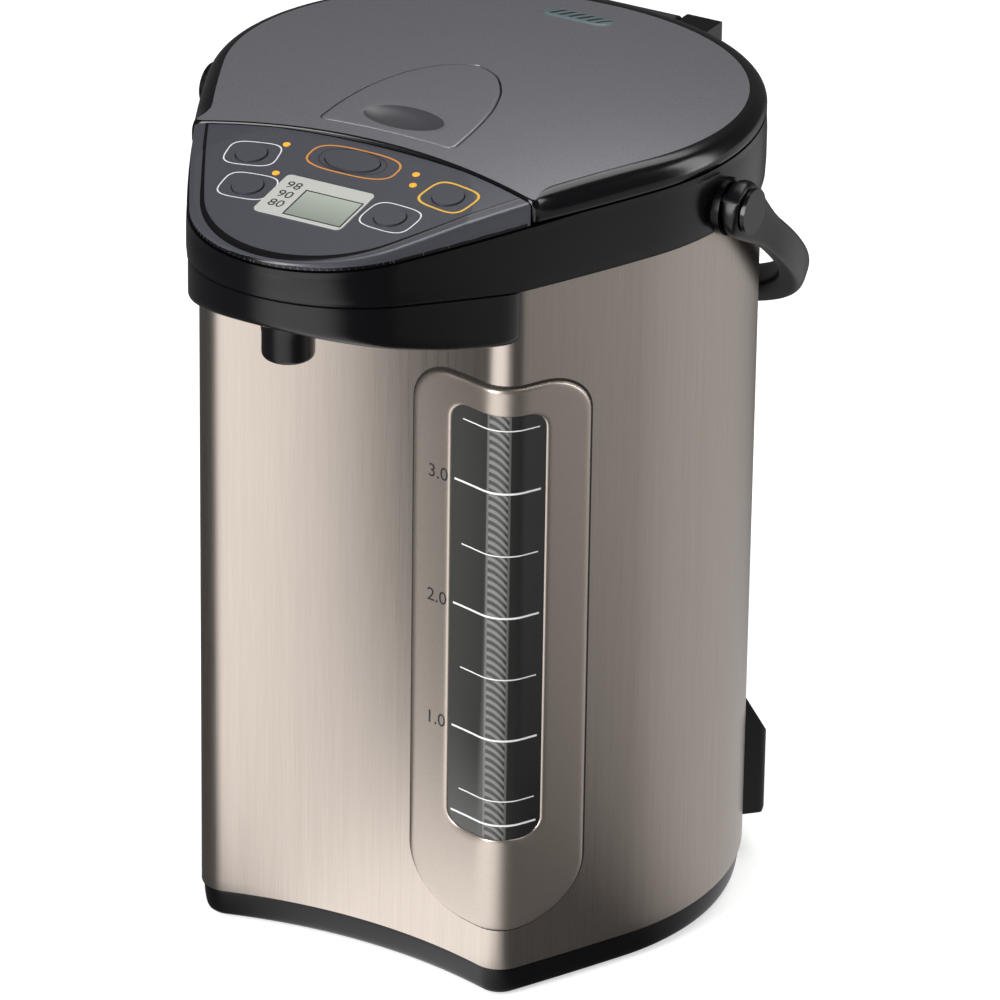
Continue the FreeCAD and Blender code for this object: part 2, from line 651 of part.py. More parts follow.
def build_beak():
    top = shell_top - beak_gap
    under = half_space(top, parting_y, -parting_slope, True)
    over = half_space(beak_low_z, parting_y, -beak_slope, False)
    over_in = half_space(beak_low_z + 2.4, parting_y, -beak_slope, False)
    front = box(-reach, reach, -reach, beak_rear_y, 0, reach)
    outside = head_slab(-0.3, head_low, seam_z).common(front).cut(body_slab(beak_gap, head_low - 10, head_high))
    room = head_slab(-0.3 - head_wall, head_low, seam_z).common(front).cut(
        body_slab(beak_gap + 2.0, head_low - 10, head_high))
    shell = outside.common(under).common(over).cut(room.common(over_in))
    shell = shell.cut(rod(spout_r, 60, (0, spout_y, head_low)))
    solids = sorted(shell.Solids, key=lambda s: -s.Volume)
    save("beak_shell", solids[0])
    nozzle = rod(spout_r, spout_high_z - spout_low_z, (0, spout_y, spout_low_z))
    nozzle = softened(nozzle, 2.2, lambda e: e.BoundBox.ZMax < spout_low_z + 0.01)
    save("spout_nozzle", nozzle.cut(rod(spout_bore_r, 40, (0, spout_y, spout_low_z - 5))))
    run = Vector(-tube_x, spout_y - tube_y, 0)
    start = (tube_x, tube_y, pipe_z)
    way = (run.x, run.y, 0)

    def route(r):
        return fuse([rod(r, run.Length, start, way), Part.makeSphere(r, Vector(*start)),
                     Part.makeSphere(r, Vector(0, spout_y, pipe_z)),
                     rod(r, pipe_z - spout_high_z, (0, spout_y, spout_high_z)),
                     rod(r, pipe_z - shell_top, (tube_x, tube_y, shell_top))])

    collar_plate = rod(spout_r, 1.5, (0, spout_y, spout_high_z))
    save("outlet_pipe", fuse([route(pipe_r), collar_plate]).cut(route(pipe_bore_r)))
    save("riser_pipe", fuse([tube(pipe_r, pipe_bore_r, shell_top - tube_high_z, (tube_x, tube_y, tube_high_z)),
                             tube(tube_r, pipe_bore_r, 6, (tube_x, tube_y, tube_high_z))]))


def build_panel():
    block = head_slab(-panel_inset, head_low, head_high).common(before_arc(seam_gap / 2))
    block = block.common(dome(0.8)).common(panel_half_space(0.0)).common(seam_half_space(seam_gap, False))
    lip = head_slab(-head_wall, head_low, head_high).common(before_arc(seam_gap / 2 + 1.0))
    lip = lip.common(seam_half_space(-4.0, False)).common(seam_half_space(seam_gap + 0.6, True))
    lip = lip.common(panel_half_space(0.3))
    room = head_slab(-head_wall - 2.0, head_low, head_high).common(before_arc(seam_gap / 2 + panel_wall))
    room = room.common(dome(0.8 + panel_wall)).common(panel_half_space(panel_wall))
    rim_z = seam_z - 2.0
    block = softened(block, panel_round, lambda e: is_crown_rim(e) and e.BoundBox.YMin < nose_seam_y - 20
                     and e.BoundBox.YMax < panel_rear_y + 4 and e.BoundBox.ZMax > rim_z
                     and e.CenterOfMass.z > seam_z + 0.4 + seam_gap
                     + nose_seam_slope * (e.CenterOfMass.y - nose_seam_y))
    panel = fuse([block, lip]).cut(room)
    for name, (x, y, a, b) in buttons.items():
        cap = oval(a, b, -1.8 - panel_wall, button_proud)
        skirt = oval(a + flange_grow, b + flange_grow, -panel_wall - 1.2, -panel_wall - 0.1)
        stem = rod(2.0, 4.0, (0, 0, -panel_wall - 5.0))
        panel = panel.cut(on_panel(oval(a + button_gap, b + button_gap, -20, 10), x, y))
        save(name, on_panel(fuse([cap, skirt, stem]), x, y))
    lights = []
    for x, y in lamps:
        light = on_panel(rod(lamp_r, panel_wall + 0.2, (0, 0, -panel_wall)), x, y)
        panel = panel.cut(light)
        lights.append(light)
    mid_x, mid_y = sum(lcd_x) / 2, sum(lcd_y) / 2
    tilt = math.cos(math.atan(panel_slope))
    half_x, half_y = (lcd_x[1] - lcd_x[0]) / 2, (lcd_y[1] - lcd_y[0]) / 2 / tilt
    pane = box(-half_x, half_x, -half_y, half_y, -lcd_t, 0.3)
    pane = softened(pane, 2.0, lambda e: e.BoundBox.ZLength > 1 and e.BoundBox.XLength < 0.01)
    hole = box(-half_x, half_x, -half_y, half_y, -20, 10)
    hole = softened(hole, 2.0, lambda e: e.BoundBox.ZLength > 1 and e.BoundBox.XLength < 0.01)
    panel = panel.cut(on_panel(hole, mid_x, mid_y))
    latch_hole = box(-latch_half - 0.4, latch_half + 0.4, latch_tip_y - 0.6, -60,
                     latch_z - 0.4, latch_z + latch_t + 0.4)
    panel = panel.cut(latch_hole)
    posts = []
    for x, y in ((-46, -108), (46, -108), (-40, -84), (16, -96)):
        posts.append(rod(2.0, 40, (x, y, board_z + board_t)).common(panel_half_space(panel_wall / 2)).common(dome(2)))
    panel = fuse([panel] + posts)
    save("control_panel", panel)
    save("indicator_lights", Part.makeCompound(lights))
    save("lcd_window", on_panel(pane, mid_x, mid_y))
    save("lcd_module", on_panel(box(-half_x + 3, half_x - 3, -half_y + 2, half_y - 2, -lcd_t - 3.2, -lcd_t),
                                mid_x, mid_y))
    board = box(-48, 48, -124, -82, board_z, board_z + board_t).common(head_slab(-head_wall - 4, head_low, head_high))
    board = fuse([board, box(-10, 6, -120, -108, board_z + board_t, board_z + board_t + 2.5),
                  box(-24, -16, -96, -88, board_z + board_t, board_z + board_t + 1.8)])
    save("control_board", board)
    return latch_hole


def lever_prism(grow, z0, z1):
    """The D-shaped lid lever seen from above: straight in front, domed towards the rear."""
    length = lever_rear_y - lever_front_y
    shares = [(1.0, 0.0), (0.985, 0.25), (0.9, 0.5), (0.7, 0.74), (0.38, 0.93)]
    right = [Vector(lever_half * w + grow, lever_front_y + length * t - (grow if t == 0 else 0), 0)
             for w, t in shares]
    points = right + [Vector(0, lever_rear_y + grow, 0)] + [Vector(-p.x, p.y, 0) for p in reversed(right)]
    crown = Part.BSplineCurve()
    crown.interpolate(points)
    bow = Part.Arc(points[0], Vector(0, lever_front_y + 0.8 - grow, 0), points[-1]).toShape()
    wire = Part.Wire(Part.__sortEdges__([crown.toShape(), bow]))
    wire.translate(Vector(0, 0, z0))
    solid = Part.Face(wire).extrude(Vector(0, 0, z1 - z0))
    return softened(solid, 3.0, lambda e: e.BoundBox.ZLength > 5 and e.BoundBox.YMax < lever_front_y + 2)


def is_crown_rim(e):
    mid = e.valueAt((e.FirstParameter + e.LastParameter) / 2)
    along = e.tangentAt((e.FirstParameter + e.LastParameter) / 2)
    return mid.z > shell_top and abs(along.z) < 0.5


def build_lid(latch_hole):
    base_z = seam_z - 1.0
    block = softened(head_block(0.0), lid_edge_round, is_crown_rim)
    behind = box(-reach, reach, -reach, reach, 0, reach).cut(before_arc(-seam_gap / 2))
    behind_in = box(-reach, reach, -reach, reach, 0, reach).cut(before_arc(-seam_gap / 2 - head_wall))
    inner = head_block(head_wall).common(behind_in)
    low_z = seam_z + seam_gap
    over = box(-reach, reach, -reach, reach, low_z, reach)
    cover = block.common(behind).common(over).cut(inner)
    base_top = base_z + lid_base_t + 1.0
    posts, screws = [], []
    for x, y in lid_post_spots:
        post = rod(4.0, 40, (x, y, base_top)).common(head_block(head_wall / 2))
        posts.append(post)
        shank = rod(1.3, base_top + 3.0 - base_z, (x, y, base_z))
        screws.append(fuse([shank, rod(2.6, 1.2, (x, y, base_z - 1.2))]))
    cover = fuse([cover] + posts)
    vent = capsule(0, vent_y, vent_half - vent_end_r, vent_end_r, head_low, head_high)
    cover = cover.cut(lever_prism(lever_gap, shell_top, head_high)).cut(vent).cut(latch_hole)
    cover = cover.cut(rod(1.1, 60, (0, 35, seam_z - 14)))
    for s in screws:
        cover = cover.cut(s)
    cover_solids = sorted(cover.Solids, key=lambda s: -s.Volume)
    save("lid_cover", cover_solids[0])

    wide = head_slab(-head_wall, low_z, base_top)
    narrow = head_slab(-head_wall - 1.4, base_z, low_z + 0.5)
    base = fuse([wide, narrow]).common(head_block(head_wall)).common(behind_in)
    bracket_top = lever_pin_z + 1.6
    extra = []
    for side in (-1, 1):
        x0 = lever_half + 1.4
        ear = box(x0, x0 + 2.6, lever_pin_y - 4, lever_pin_y + 4, base_top - 1, bracket_top)
        extra.append(ear if side > 0 else ear.mirror(Vector(), Vector(1, 0, 0)))
    extra.append(box(-3, 3, spring_end_y, spring_end_y + 1.5, base_top - 1, base_top + 3.8))
    arm = fuse([box(-knuckle_half, knuckle_half, 82, 90.5, hinge_z - 3, base_z + 1),
                box(-knuckle_half, knuckle_half, 82, hinge_y, hinge_z - 3, hinge_z + 2),
                rod(knuckle_r, 2 * knuckle_half, (-knuckle_half, hinge_y, hinge_z), (1, 0, 0))])
    base = fuse([base, arm] + extra)
    pin_len = 2 * (lever_half + 4.0)
    lever_pin = rod(1.5, pin_len, (-pin_len / 2, lever_pin_y, lever_pin_z), (1, 0, 0))
    duct_hole = rod(duct_r, 60, (0, vent_y, plug_low_z - 1))
    base = base.cut(lever_pin).cut(duct_hole)
    base = base.cut(rod(hinge_pin_r + running_fit, 80, (-40, hinge_y, hinge_z), (1, 0, 0)))
    for s in screws:
        base = base.cut(s)
    save("lid_base", base)
    plug = turned([(0, plug_low_z), (plug_r - 3, plug_low_z), (plug_r, plug_low_z + 3), (plug_r, base_z),
                   (plug_r - 1.2, base_z), (plug_r - 1.2, plug_low_z + 3.6), (plug_r - 3.6, plug_low_z + 1.2),
                   (0, plug_low_z + 1.2)], vessel_y)
    save("lid_plug", plug.cut(duct_hole))
    save("lid_gasket", turned([(plug_r, mouth_top_z - 4), (lid_gasket_r, mouth_top_z - 3),
                              (lid_gasket_r, mouth_top_z - 1.5), (plug_r, mouth_top_z - 0.5)], vessel_y))
    duct = tube(duct_r, duct_r - 1.2, 60, (0, vent_y, plug_low_z)).common(dome(head_wall))
    save("steam_duct", duct)
    insert = vent.common(dome(-0.3)).cut(dome(head_wall))
    pitch = (2 * vent_half - 5.0) / vent_slots
    for i in range(vent_slots):
        x = (i - (vent_slots - 1) / 2) * pitch
        insert = insert.cut(box(x - pitch * 0.3, x + pitch * 0.3, vent_y - 3.6, vent_y + 3.6, head_low, head_high))
    save("steam_vent", insert)
    save("lid_screws", Part.makeCompound(screws))
    save("lever_pin", lever_pin)

    lever = lever_prism(0.0, shell_top, head_high).common(dome(0.0)).cut(dome(lever_t))
    cup_a, cup_b, cup_y = 15.0, 8.0, -56.0
    cup = oval(cup_a + 1.5, cup_b + 1.5, lever_pin_z - 1.6, head_high).common(
        box(-50, 50, -50, 50, lever_pin_z - 3, head_high))
    cup.translate(Vector(0, cup_y, 0))
    cup = cup.common(dome(lever_t / 2))
    hollow = oval(cup_a, cup_b, lever_pin_z - 0.4, head_high + 10)
    hollow.translate(Vector(0, cup_y, 0))
    lugs = []
    bore_r = 1.5 + running_fit
    for x in (-24.0, 20.5):
        lug = box(x, x + 3.5, lever_pin_y - 3, lever_pin_y + 3, lever_pin_z - 3, head_high)
        lug = lug.cut(rod(bore_r, 8, (x - 2, lever_pin_y, lever_pin_z), (1, 0, 0)))
        lugs.append(lug.common(dome(lever_t / 2)))
    lever = fuse([lever, cup] + lugs).cut(hollow)
    lever = lever.cut(rod(bore_r, 36, (-18, lever_pin_y, lever_pin_z), (1, 0, 0)))
    save("lid_lever", lever)
    tab_z = base_top + 3.4
    latch = fuse([box(-latch_half, latch_half, latch_tip_y, latch_tail_y, latch_z, latch_z + latch_t),
                  box(-2.5, 2.5, latch_tail_y - 2, latch_tail_y, latch_z, tab_z)])
    save("latch_slide", latch)
    length = spring_end_y - latch_tail_y
    helix = Part.makeHelix(length / 5.0, length - 0.6, 1.2)
    wire = Part.Wire(helix.Edges)
    section = Part.Wire(Part.Circle(Vector(1.2, 0, 0), Vector(0, 1, 0), 0.25).toShape())
    coil = wire.makePipeShell([section], True, True)
    coil.rotate(Vector(), Vector(1, 0, 0), -90)
    coil.translate(Vector(0, latch_tail_y + 0.3, base_top + 1.9))
    save("latch_spring", coil)


def build_handle():
    half = handle_depth / 2

    def half_oval(a, b):
        """Half ellipse in the XY plane, from +a round to -a, b deep."""
        if b > a:
            curve = Part.Ellipse(Vector(0, b, 0), Vector(a, 0, 0), Vector(0, 0, 0))
        else:
            curve = Part.Ellipse(Vector(a, 0, 0), Vector(0, b, 0), Vector(0, 0, 0))
        edge = curve.toShape()
        face = Part.Face(Part.Wire(edge))
        return face

    def bow(a, b, straight):
        oval_face = half_oval(a, b)
        solid = oval_face.extrude(Vector(0, 0, handle_depth))
        solid = solid.common(box(-reach, reach, 0, reach, -reach, reach))
        solid.translate(Vector(0, straight, 0))
        arms = box(-a, a, -boss_r, straight, 0, handle_depth)
        return fuse([solid, arms])

    loop = bow(handle_out, handle_reach_out, handle_straight).cut(
        bow(handle_in, handle_reach_in, handle_straight))
    loop = loop.cut(box(-handle_in, handle_in, -60, handle_straight, -50, 50))
    loop.translate(Vector(0, 0, -half))
    eyes = []
    for side in (-1, 1):
        eyes.append(rod(boss_r, handle_out - handle_in, (side * handle_in, 0, 0), (side, 0, 0)))
    loop = loop.cut(box(-reach, reach, -60, 0, -50, 50))
    loop = softened(fuse([loop]), handle_round, lambda e: e.BoundBox.YMax > handle_straight + 50
                    and e.BoundBox.YMax > e.BoundBox.YMin + 20)
    loop = fuse([loop] + eyes)
    loop = loop.cut(rod(pivot_r + running_fit, 300, (-150, 0, 0), (1, 0, 0)))
    loop.rotate(Vector(), Vector(1, 0, 0), -handle_drop_deg)
    loop.translate(Vector(0, pivot_y, pivot_z))
    save("handle", loop)


build_base()
build_shell(build_socket())
build_collar(build_vessel())
build_pump()
build_hinge()
build_beak()
build_lid(build_panel())
build_handle()
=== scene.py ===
import math
import bpy
import numpy as np
from mathutils import Matrix, Vector


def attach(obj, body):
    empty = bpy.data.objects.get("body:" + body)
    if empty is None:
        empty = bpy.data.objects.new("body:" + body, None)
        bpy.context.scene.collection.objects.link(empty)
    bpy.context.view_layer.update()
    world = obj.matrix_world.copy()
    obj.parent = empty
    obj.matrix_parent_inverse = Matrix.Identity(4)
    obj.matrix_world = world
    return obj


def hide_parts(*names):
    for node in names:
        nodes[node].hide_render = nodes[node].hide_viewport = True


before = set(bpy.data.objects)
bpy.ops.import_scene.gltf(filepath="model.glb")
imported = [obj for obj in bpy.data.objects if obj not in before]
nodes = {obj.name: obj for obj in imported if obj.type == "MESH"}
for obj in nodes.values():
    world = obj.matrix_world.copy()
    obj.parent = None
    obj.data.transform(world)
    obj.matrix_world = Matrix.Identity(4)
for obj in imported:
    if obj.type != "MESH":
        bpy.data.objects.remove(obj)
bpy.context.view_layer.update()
mm = 0.001

# sizes of the pot in mm, as the frame has them
pot = {
    "bodyRadius": 95.5, "sideTurn": -26.5, "cornerX": 59.6, "cornerY": -91.9,
    "cornerRound": 10.6, "scoop": 10.0, "steelLow": 11.8, "steelTop": 270.5,
    "partingY": -88.0, "partingSlope": 0.13,
    "headRadius": 96.6, "headTurn": -24.0, "noseRadius": 48.0, "noseY": -104.0,
    "apexZ": 308.5, "apexY": -22.0, "domeLong": 562.0, "domeCross": 714.0,
    "seamZ": 293.8, "noseSeamY": -72.0, "noseSlope": 0.05,
    "panelRearY": -75.5, "panelArc": 241.0, "panelRearZ": 304.4, "panelSlope": 0.163,
}


# sRGB hex to linear: each channel through the standard sRGB curve.
def toLinear(hexText):
    v = np.array([int(hexText[i:i + 2], 16) for i in (1, 3, 5)]) / 255.0
    lin = np.where(v <= 0.04045, v / 12.92, ((v + 0.055) / 1.055) ** 2.4)
    return (float(lin[0]), float(lin[1]), float(lin[2]), 1.0)


# Outlines seen from above: points and outward normals, in mm

# Points centre + radius * (cos, sin) for angles a0 to a1, normals along the radius times sign.
def arcRun(centre, radius, a0, a1, count, sign=1.0):
    a = np.linspace(a0, a1, count)
    d = np.stack([np.cos(a), np.sin(a)], 1)
    return np.array(centre) + radius * d, sign * d


# The right half from rear to front joined to its mirror image, as one closed loop.
def mirrorRun(points, normals):
    flip = np.array([-1.0, 1.0])
    p = np.concatenate([points, (points * flip)[::-1][1:-1]])
    n = np.concatenate([normals, (normals * flip)[::-1][1:-1]])
    return p, n


# Round rear arc, flatter side arc, small corner arc and a hollow front arc, all tangent.
def bodyLoop(rear=48, side=30, corner=16, front=26):
    r, turn = pot["bodyRadius"], math.radians(pot["sideTurn"])
    turnDir = np.array([math.cos(turn), math.sin(turn)])
    cornerPt = np.array([pot["cornerX"], pot["cornerY"]])
    chord = cornerPt - r * turnDir
    sideR = chord @ chord / (2 * chord @ -turnDir)
    sideC = r * turnDir - turnDir * sideR
    frontR = (pot["cornerX"] ** 2 + pot["scoop"] ** 2) / (2 * pot["scoop"])
    frontC = np.array([0.0, pot["cornerY"] + pot["scoop"] - frontR])
    q = pot["cornerRound"]
    gap = frontC - sideC
    dist = math.hypot(*gap)
    r1, r2 = sideR - q, frontR + q
    along = (r1 * r1 - r2 * r2 + dist * dist) / (2 * dist)
    across = math.sqrt(max(0.0, r1 * r1 - along * along))
    ux = gap / dist
    uy = np.array([-ux[1], ux[0]])
    picks = [sideC + ux * along + uy * across, sideC + ux * along - uy * across]
    roundC = min(picks, key=lambda c: math.hypot(*(c - cornerPt)))
    a1 = math.atan2(*(roundC - sideC)[::-1])
    toRound = roundC - frontC
    a2 = math.atan2(toRound[1], toRound[0])
    runs = [
        arcRun((0, 0), r, math.pi / 2, turn, rear),
        arcRun(sideC, sideR, turn, a1, side),
        arcRun(roundC, q, a1, a2 - math.pi, corner),
        arcRun(frontC, frontR, a2, math.pi / 2, front, -1.0),
    ]
    p = np.concatenate([run[0][(1 if i else 0):] for i, run in enumerate(runs)])
    n = np.concatenate([run[1][(1 if i else 0):] for i, run in enumerate(runs)])
    return mirrorRun(p, n)


# Round rear arc, long side arc and nose arc, all tangent.
def headLoop(rear=54, side=40, nose=40):
    r, turn = pot["headRadius"], math.radians(pot["headTurn"])
    slack = r - pot["noseRadius"]
    lean = 2 * math.sin(-turn) * (-pot["noseY"])
    extra = (pot["noseY"] ** 2 - slack ** 2) / (2 * slack - lean)
    sideC = -extra * np.array([math.cos(turn), math.sin(turn)])
    noseC = np.array([0.0, pot["noseY"]])
    a1 = math.atan2(*(noseC - sideC)[::-1])
    runs = [
        arcRun((0, 0), r, math.pi / 2, turn, rear),
        arcRun(sideC, r + extra, turn, a1, side),
        arcRun(noseC, pot["noseRadius"], a1, -math.pi / 2, nose),
    ]
    p = np.concatenate([run[0][(1 if i else 0):] for i, run in enumerate(runs)])
    n = np.concatenate([run[1][(1 if i else 0):] for i, run in enumerate(runs)])
    return mirrorRun(p, n)


# Crown of the head: an arc from side to side swung about a low cross axis.
def domeZ(x, y):
    cross = pot["apexZ"] - pot["domeCross"] + np.sqrt(pot["domeCross"] ** 2 - x ** 2)
    long = np.sqrt((cross - (pot["apexZ"] - pot["domeLong"])) ** 2 - (y - pot["apexY"]) ** 2)
    return pot["apexZ"] - pot["domeLong"] + long


# Flat face of the control panel, which falls towards the nose.
def panelZ(y):
    return pot["panelRearZ"] + pot["panelSlope"] * (y - pot["panelRearY"])


# Top edge of the collar: level under the lid, dipping towards the nose.
def seamZ(y):
    dip = pot["seamZ"] - 0.2 + pot["noseSlope"] * (y - pot["noseSeamY"])
    return np.minimum(pot["seamZ"], dip)


# Meshes

# A mesh object from points in mm and faces; edges sharper than smoothAngle stay sharp.
def makeMesh(name, verts, faces, smoothAngle=32.0, uv=None):
    mesh = bpy.data.meshes.new(name)
    mesh.from_pydata((np.asarray(verts, float) * mm).tolist(), [], [list(map(int, f)) for f in faces])
    mesh.update()
    if uv is not None:
        layer = mesh.uv_layers.new(name="flat")
        idx = np.zeros(len(mesh.loops), np.int32)
        mesh.loops.foreach_get("vertex_index", idx)
        layer.data.foreach_set("uv", np.asarray(uv, np.float32)[idx].ravel())
    mesh.shade_smooth()
    mesh.set_sharp_from_angle(angle=math.radians(smoothAngle))
    obj = bpy.data.objects.new(name, mesh)
    bpy.context.scene.collection.objects.link(obj)
    return obj


# Quads between neighbouring rows; closed joins the last column to the first.
def gridFaces(rows, cols, closed, offset=0, flip=False):
    v = np.arange(rows - 1)[:, None]
    u = np.arange(cols if closed else cols - 1)[None, :]
    w = (u + 1) % cols
    corners = [v * cols + u, v * cols + w, (v + 1) * cols + w, (v + 1) * cols + u]
    quads = np.stack(corners, -1).reshape(-1, 4)
    return (quads[:, ::-1] if flip else quads) + offset


# An open or closed sheet from a rows x columns x 3 array in mm.
def gridObject(name, grid, closed=True, flip=False, smoothAngle=32.0, uv=None):
    rows, cols, _ = grid.shape
    flat = None if uv is None else uv.reshape(-1, 2)
    return makeMesh(name, grid.reshape(-1, 3), gridFaces(rows, cols, closed, 0, flip), smoothAngle, flat)


# Each profile row is (grow, z): the loop pushed out by grow, at height z (one value or one per point).
def wallGrid(loop, normals, profile):
    rows = []
    for grow, z in profile:
        p = loop + normals * np.asarray(grow, float).reshape(-1, 1)
        rows.append(np.concatenate([p, np.broadcast_to(np.asarray(z, float), (len(loop),))[:, None]], 1))
    return np.array(rows)


# Rows of a rounded edge: (inward, along) from the start to the end of a quarter circle.
def quarter(radius, count=5):
    a = np.linspace(0, math.pi / 2, count)
    return radius * (1 - np.cos(a)), radius * np.sin(a)


# Gives an object its finish, the body that it rides on and the frame nodes that it stands in for.
def finish(obj, material, body, *replaced, slotName=None):
    obj.data.materials.clear()
    obj.data.materials.append(material)
    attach(obj, body)
    if replaced:
        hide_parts(*replaced)
    return obj


# Materials

# Adds one node, sets its options, then its sockets by name: a value, or another node's output.
def addNode(tree, kind, settings=None, **inputs):
    node = tree.nodes.new(kind)
    for key, value in (settings or {}).items():
        setattr(node, key, value)
    for key, value in inputs.items():
        numbered = key[0] == "i" and key[1:].isdigit()
        socket = node.inputs[int(key[1:]) if numbered else key.replace("_", " ")]
        if isinstance(value, bpy.types.NodeSocket):
            tree.links.new(value, socket)
        else:
            socket.default_value = value
    return node


# A Principled material with its plain numbers on the shader's own sockets.
def newMaterial(name, colour, metallic=0.0, roughness=0.4, **more):
    mat = bpy.data.materials.new(name)
    mat.use_nodes = True
    tree = mat.node_tree
    shader = tree.nodes["Principled BSDF"]
    shader.inputs["Base Color"].default_value = toLinear(colour)
    shader.inputs["Metallic"].default_value = metallic
    shader.inputs["Roughness"].default_value = roughness
    for key, value in more.items():
        shader.inputs[key.replace("_", " ")].default_value = value
    mat.diffuse_color = toLinear(colour)
    return mat, tree, shader


# Places in the object itself, in metres, so that a pattern moves with its piece.
def objectCoords(tree, scale=(1, 1, 1)):
    coords = addNode(tree, "ShaderNodeTexCoord")
    return addNode(tree, "ShaderNodeMapping", i0=coords.outputs["Object"], i3=scale).outputs[0]


# One arithmetic step.
def calc(tree, op, a, b=0.0, c=0.0, clamp=False):
    return addNode(tree, "ShaderNodeMath", {"operation": op, "use_clamp": clamp}, i0=a, i1=b, i2=c).outputs[0]


# A colour between a and b by factor.
def blend(tree, factor, a, b):
    node = addNode(tree, "ShaderNodeMix", {"data_type": "RGBA"})
    for index, value in ((0, factor), (6, a), (7, b)):
        if isinstance(value, bpy.types.NodeSocket):
            tree.links.new(value, node.inputs[index])
        else:
            node.inputs[index].default_value = value
    return node.outputs[2]


# Fine relief from noise whose grains are scaleMm across, stretched along an axis if asked.
def grainBump(tree, shader, scaleMm, strength, depthMm=0.02, stretch=(1, 1, 1), detail=3.0):
    vec = objectCoords(tree, stretch)
    noise = addNode(tree, "ShaderNodeTexNoise", Vector=vec, Scale=1.0 / (scaleMm * mm), Detail=detail,
                    Roughness=0.55)
    bump = addNode(tree, "ShaderNodeBump", Strength=strength, Distance=depthMm * mm, Height=noise.outputs[0])
    tree.links.new(bump.outputs[0], shader.inputs["Normal"])
    return noise


# Roughness that follows a pattern between two values, so that a highlight breaks up softly.
def roughRange(tree, shader, source, low, high):
    ranged = addNode(tree, "ShaderNodeMapRange", i0=source, i3=low, i4=high)
    tree.links.new(ranged.outputs[0], shader.inputs["Roughness"])


# Stainless sheet brushed upwards: long fine streaks that spread highlights sideways.
def brushedSteelMaterial():
    mat, tree, shader = newMaterial("brushedStainless", "#B5A99F", 1.0, 0.3, Anisotropic=0.4)
    vec = objectCoords(tree, (1, 1, 0.012))
    fine = addNode(tree, "ShaderNodeTexNoise", Vector=vec, Scale=1 / (0.35 * mm), Detail=2.0, Roughness=0.6)
    broad = addNode(tree, "ShaderNodeTexNoise", Vector=vec, Scale=1 / (2.6 * mm), Detail=2.0, Roughness=0.5)
    both = calc(tree, "ADD", calc(tree, "MULTIPLY", fine.outputs[0], 0.7),
                calc(tree, "MULTIPLY", broad.outputs[0], 0.3))
    shade = addNode(tree, "ShaderNodeMapRange", i0=both, i1=0.3, i2=0.7, i3=0.0, i4=1.0).outputs[0]
    tint = blend(tree, shade, toLinear("#AAA098"), toLinear("#B7ACA3"))
    tree.links.new(tint, shader.inputs["Base Color"])
    roughRange(tree, shader, both, 0.22, 0.36)
    bump = addNode(tree, "ShaderNodeBump", Strength=0.22, Distance=0.012 * mm, Height=fine.outputs[0])
    tree.links.new(bump.outputs[0], shader.inputs["Normal"])
    return mat


# Injection-moulded plastic: soft faint orange-peel and slightly uneven gloss.
def mouldedMaterial(name, colour, roughness, coat=0.0, grainMm=0.6, grain=0.12, spread=0.05, **more):
    mat, tree, shader = newMaterial(name, colour, 0.0, roughness, Coat_Weight=coat,
                                    Coat_Roughness=0.12, **more)
    noise = grainBump(tree, shader, grainMm, grain, 0.02)
    roughRange(tree, shader, noise.outputs[0], max(0.02, roughness - spread), roughness + spread)
    return mat


# Satin metallic lacquer: fine flakes under a soft clear coat.
def metallicPaintMaterial(name, colour, roughness=0.36):
    mat, tree, shader = newMaterial(name, colour, 0.35, roughness, Coat_Weight=0.25, Coat_Roughness=0.25)
    vec = objectCoords(tree)
    flakes = addNode(tree, "ShaderNodeTexVoronoi", Vector=vec, Scale=1 / (0.45 * mm))
    level = addNode(tree, "ShaderNodeMapRange", i0=flakes.outputs["Distance"], i1=0.1, i2=0.7).outputs[0]
    base = np.array(toLinear(colour))
    light = tuple(np.clip(base * 1.16, 0, 1)[:3]) + (1.0,)
    dark = tuple((base * 0.9)[:3]) + (1.0,)
    tree.links.new(blend(tree, level, light, dark), shader.inputs["Base Color"])
    roughRange(tree, shader, flakes.outputs["Distance"], roughness - 0.04, roughness + 0.07)
    return mat


# Bare metal with faint uneven polish.
def plainMetalMaterial(name, colour, roughness, brushMm=0.5):
    mat, tree, shader = newMaterial(name, colour, 1.0, roughness)
    noise = grainBump(tree, shader, brushMm, 0.1, 0.01)
    roughRange(tree, shader, noise.outputs[0], max(0.03, roughness - 0.06), roughness + 0.06)
    return mat


# The sleeve reads as brushed champagne steel, the head as near-black plastic with a soft shine,
# and the lid as satin grey lacquer.
steel = brushedSteelMaterial()
blackGloss = mouldedMaterial("glossBlackPolypropylene", "#0A090C", 0.2, 0.1, 0.9, 0.05,
                             Specular_IOR_Level=0.3)
blackSatin = mouldedMaterial("satinBlackPolypropylene", "#0A090C", 0.3, 0.0, 0.5, 0.1,
                             Specular_IOR_Level=0.28)
blackMatte = mouldedMaterial("matteBlackNylon", "#17171A", 0.55, 0.0, 0.4, 0.3)
lidSatin = metallicPaintMaterial("satinGreyMetallicLacquer", "#77767C", 0.34)
buttonGrey = metallicPaintMaterial("buttonGreyLacquer", "#5C5E66", 0.42)
teal = mouldedMaterial("tealGreyPolypropylene", "#5E6E72", 0.45)
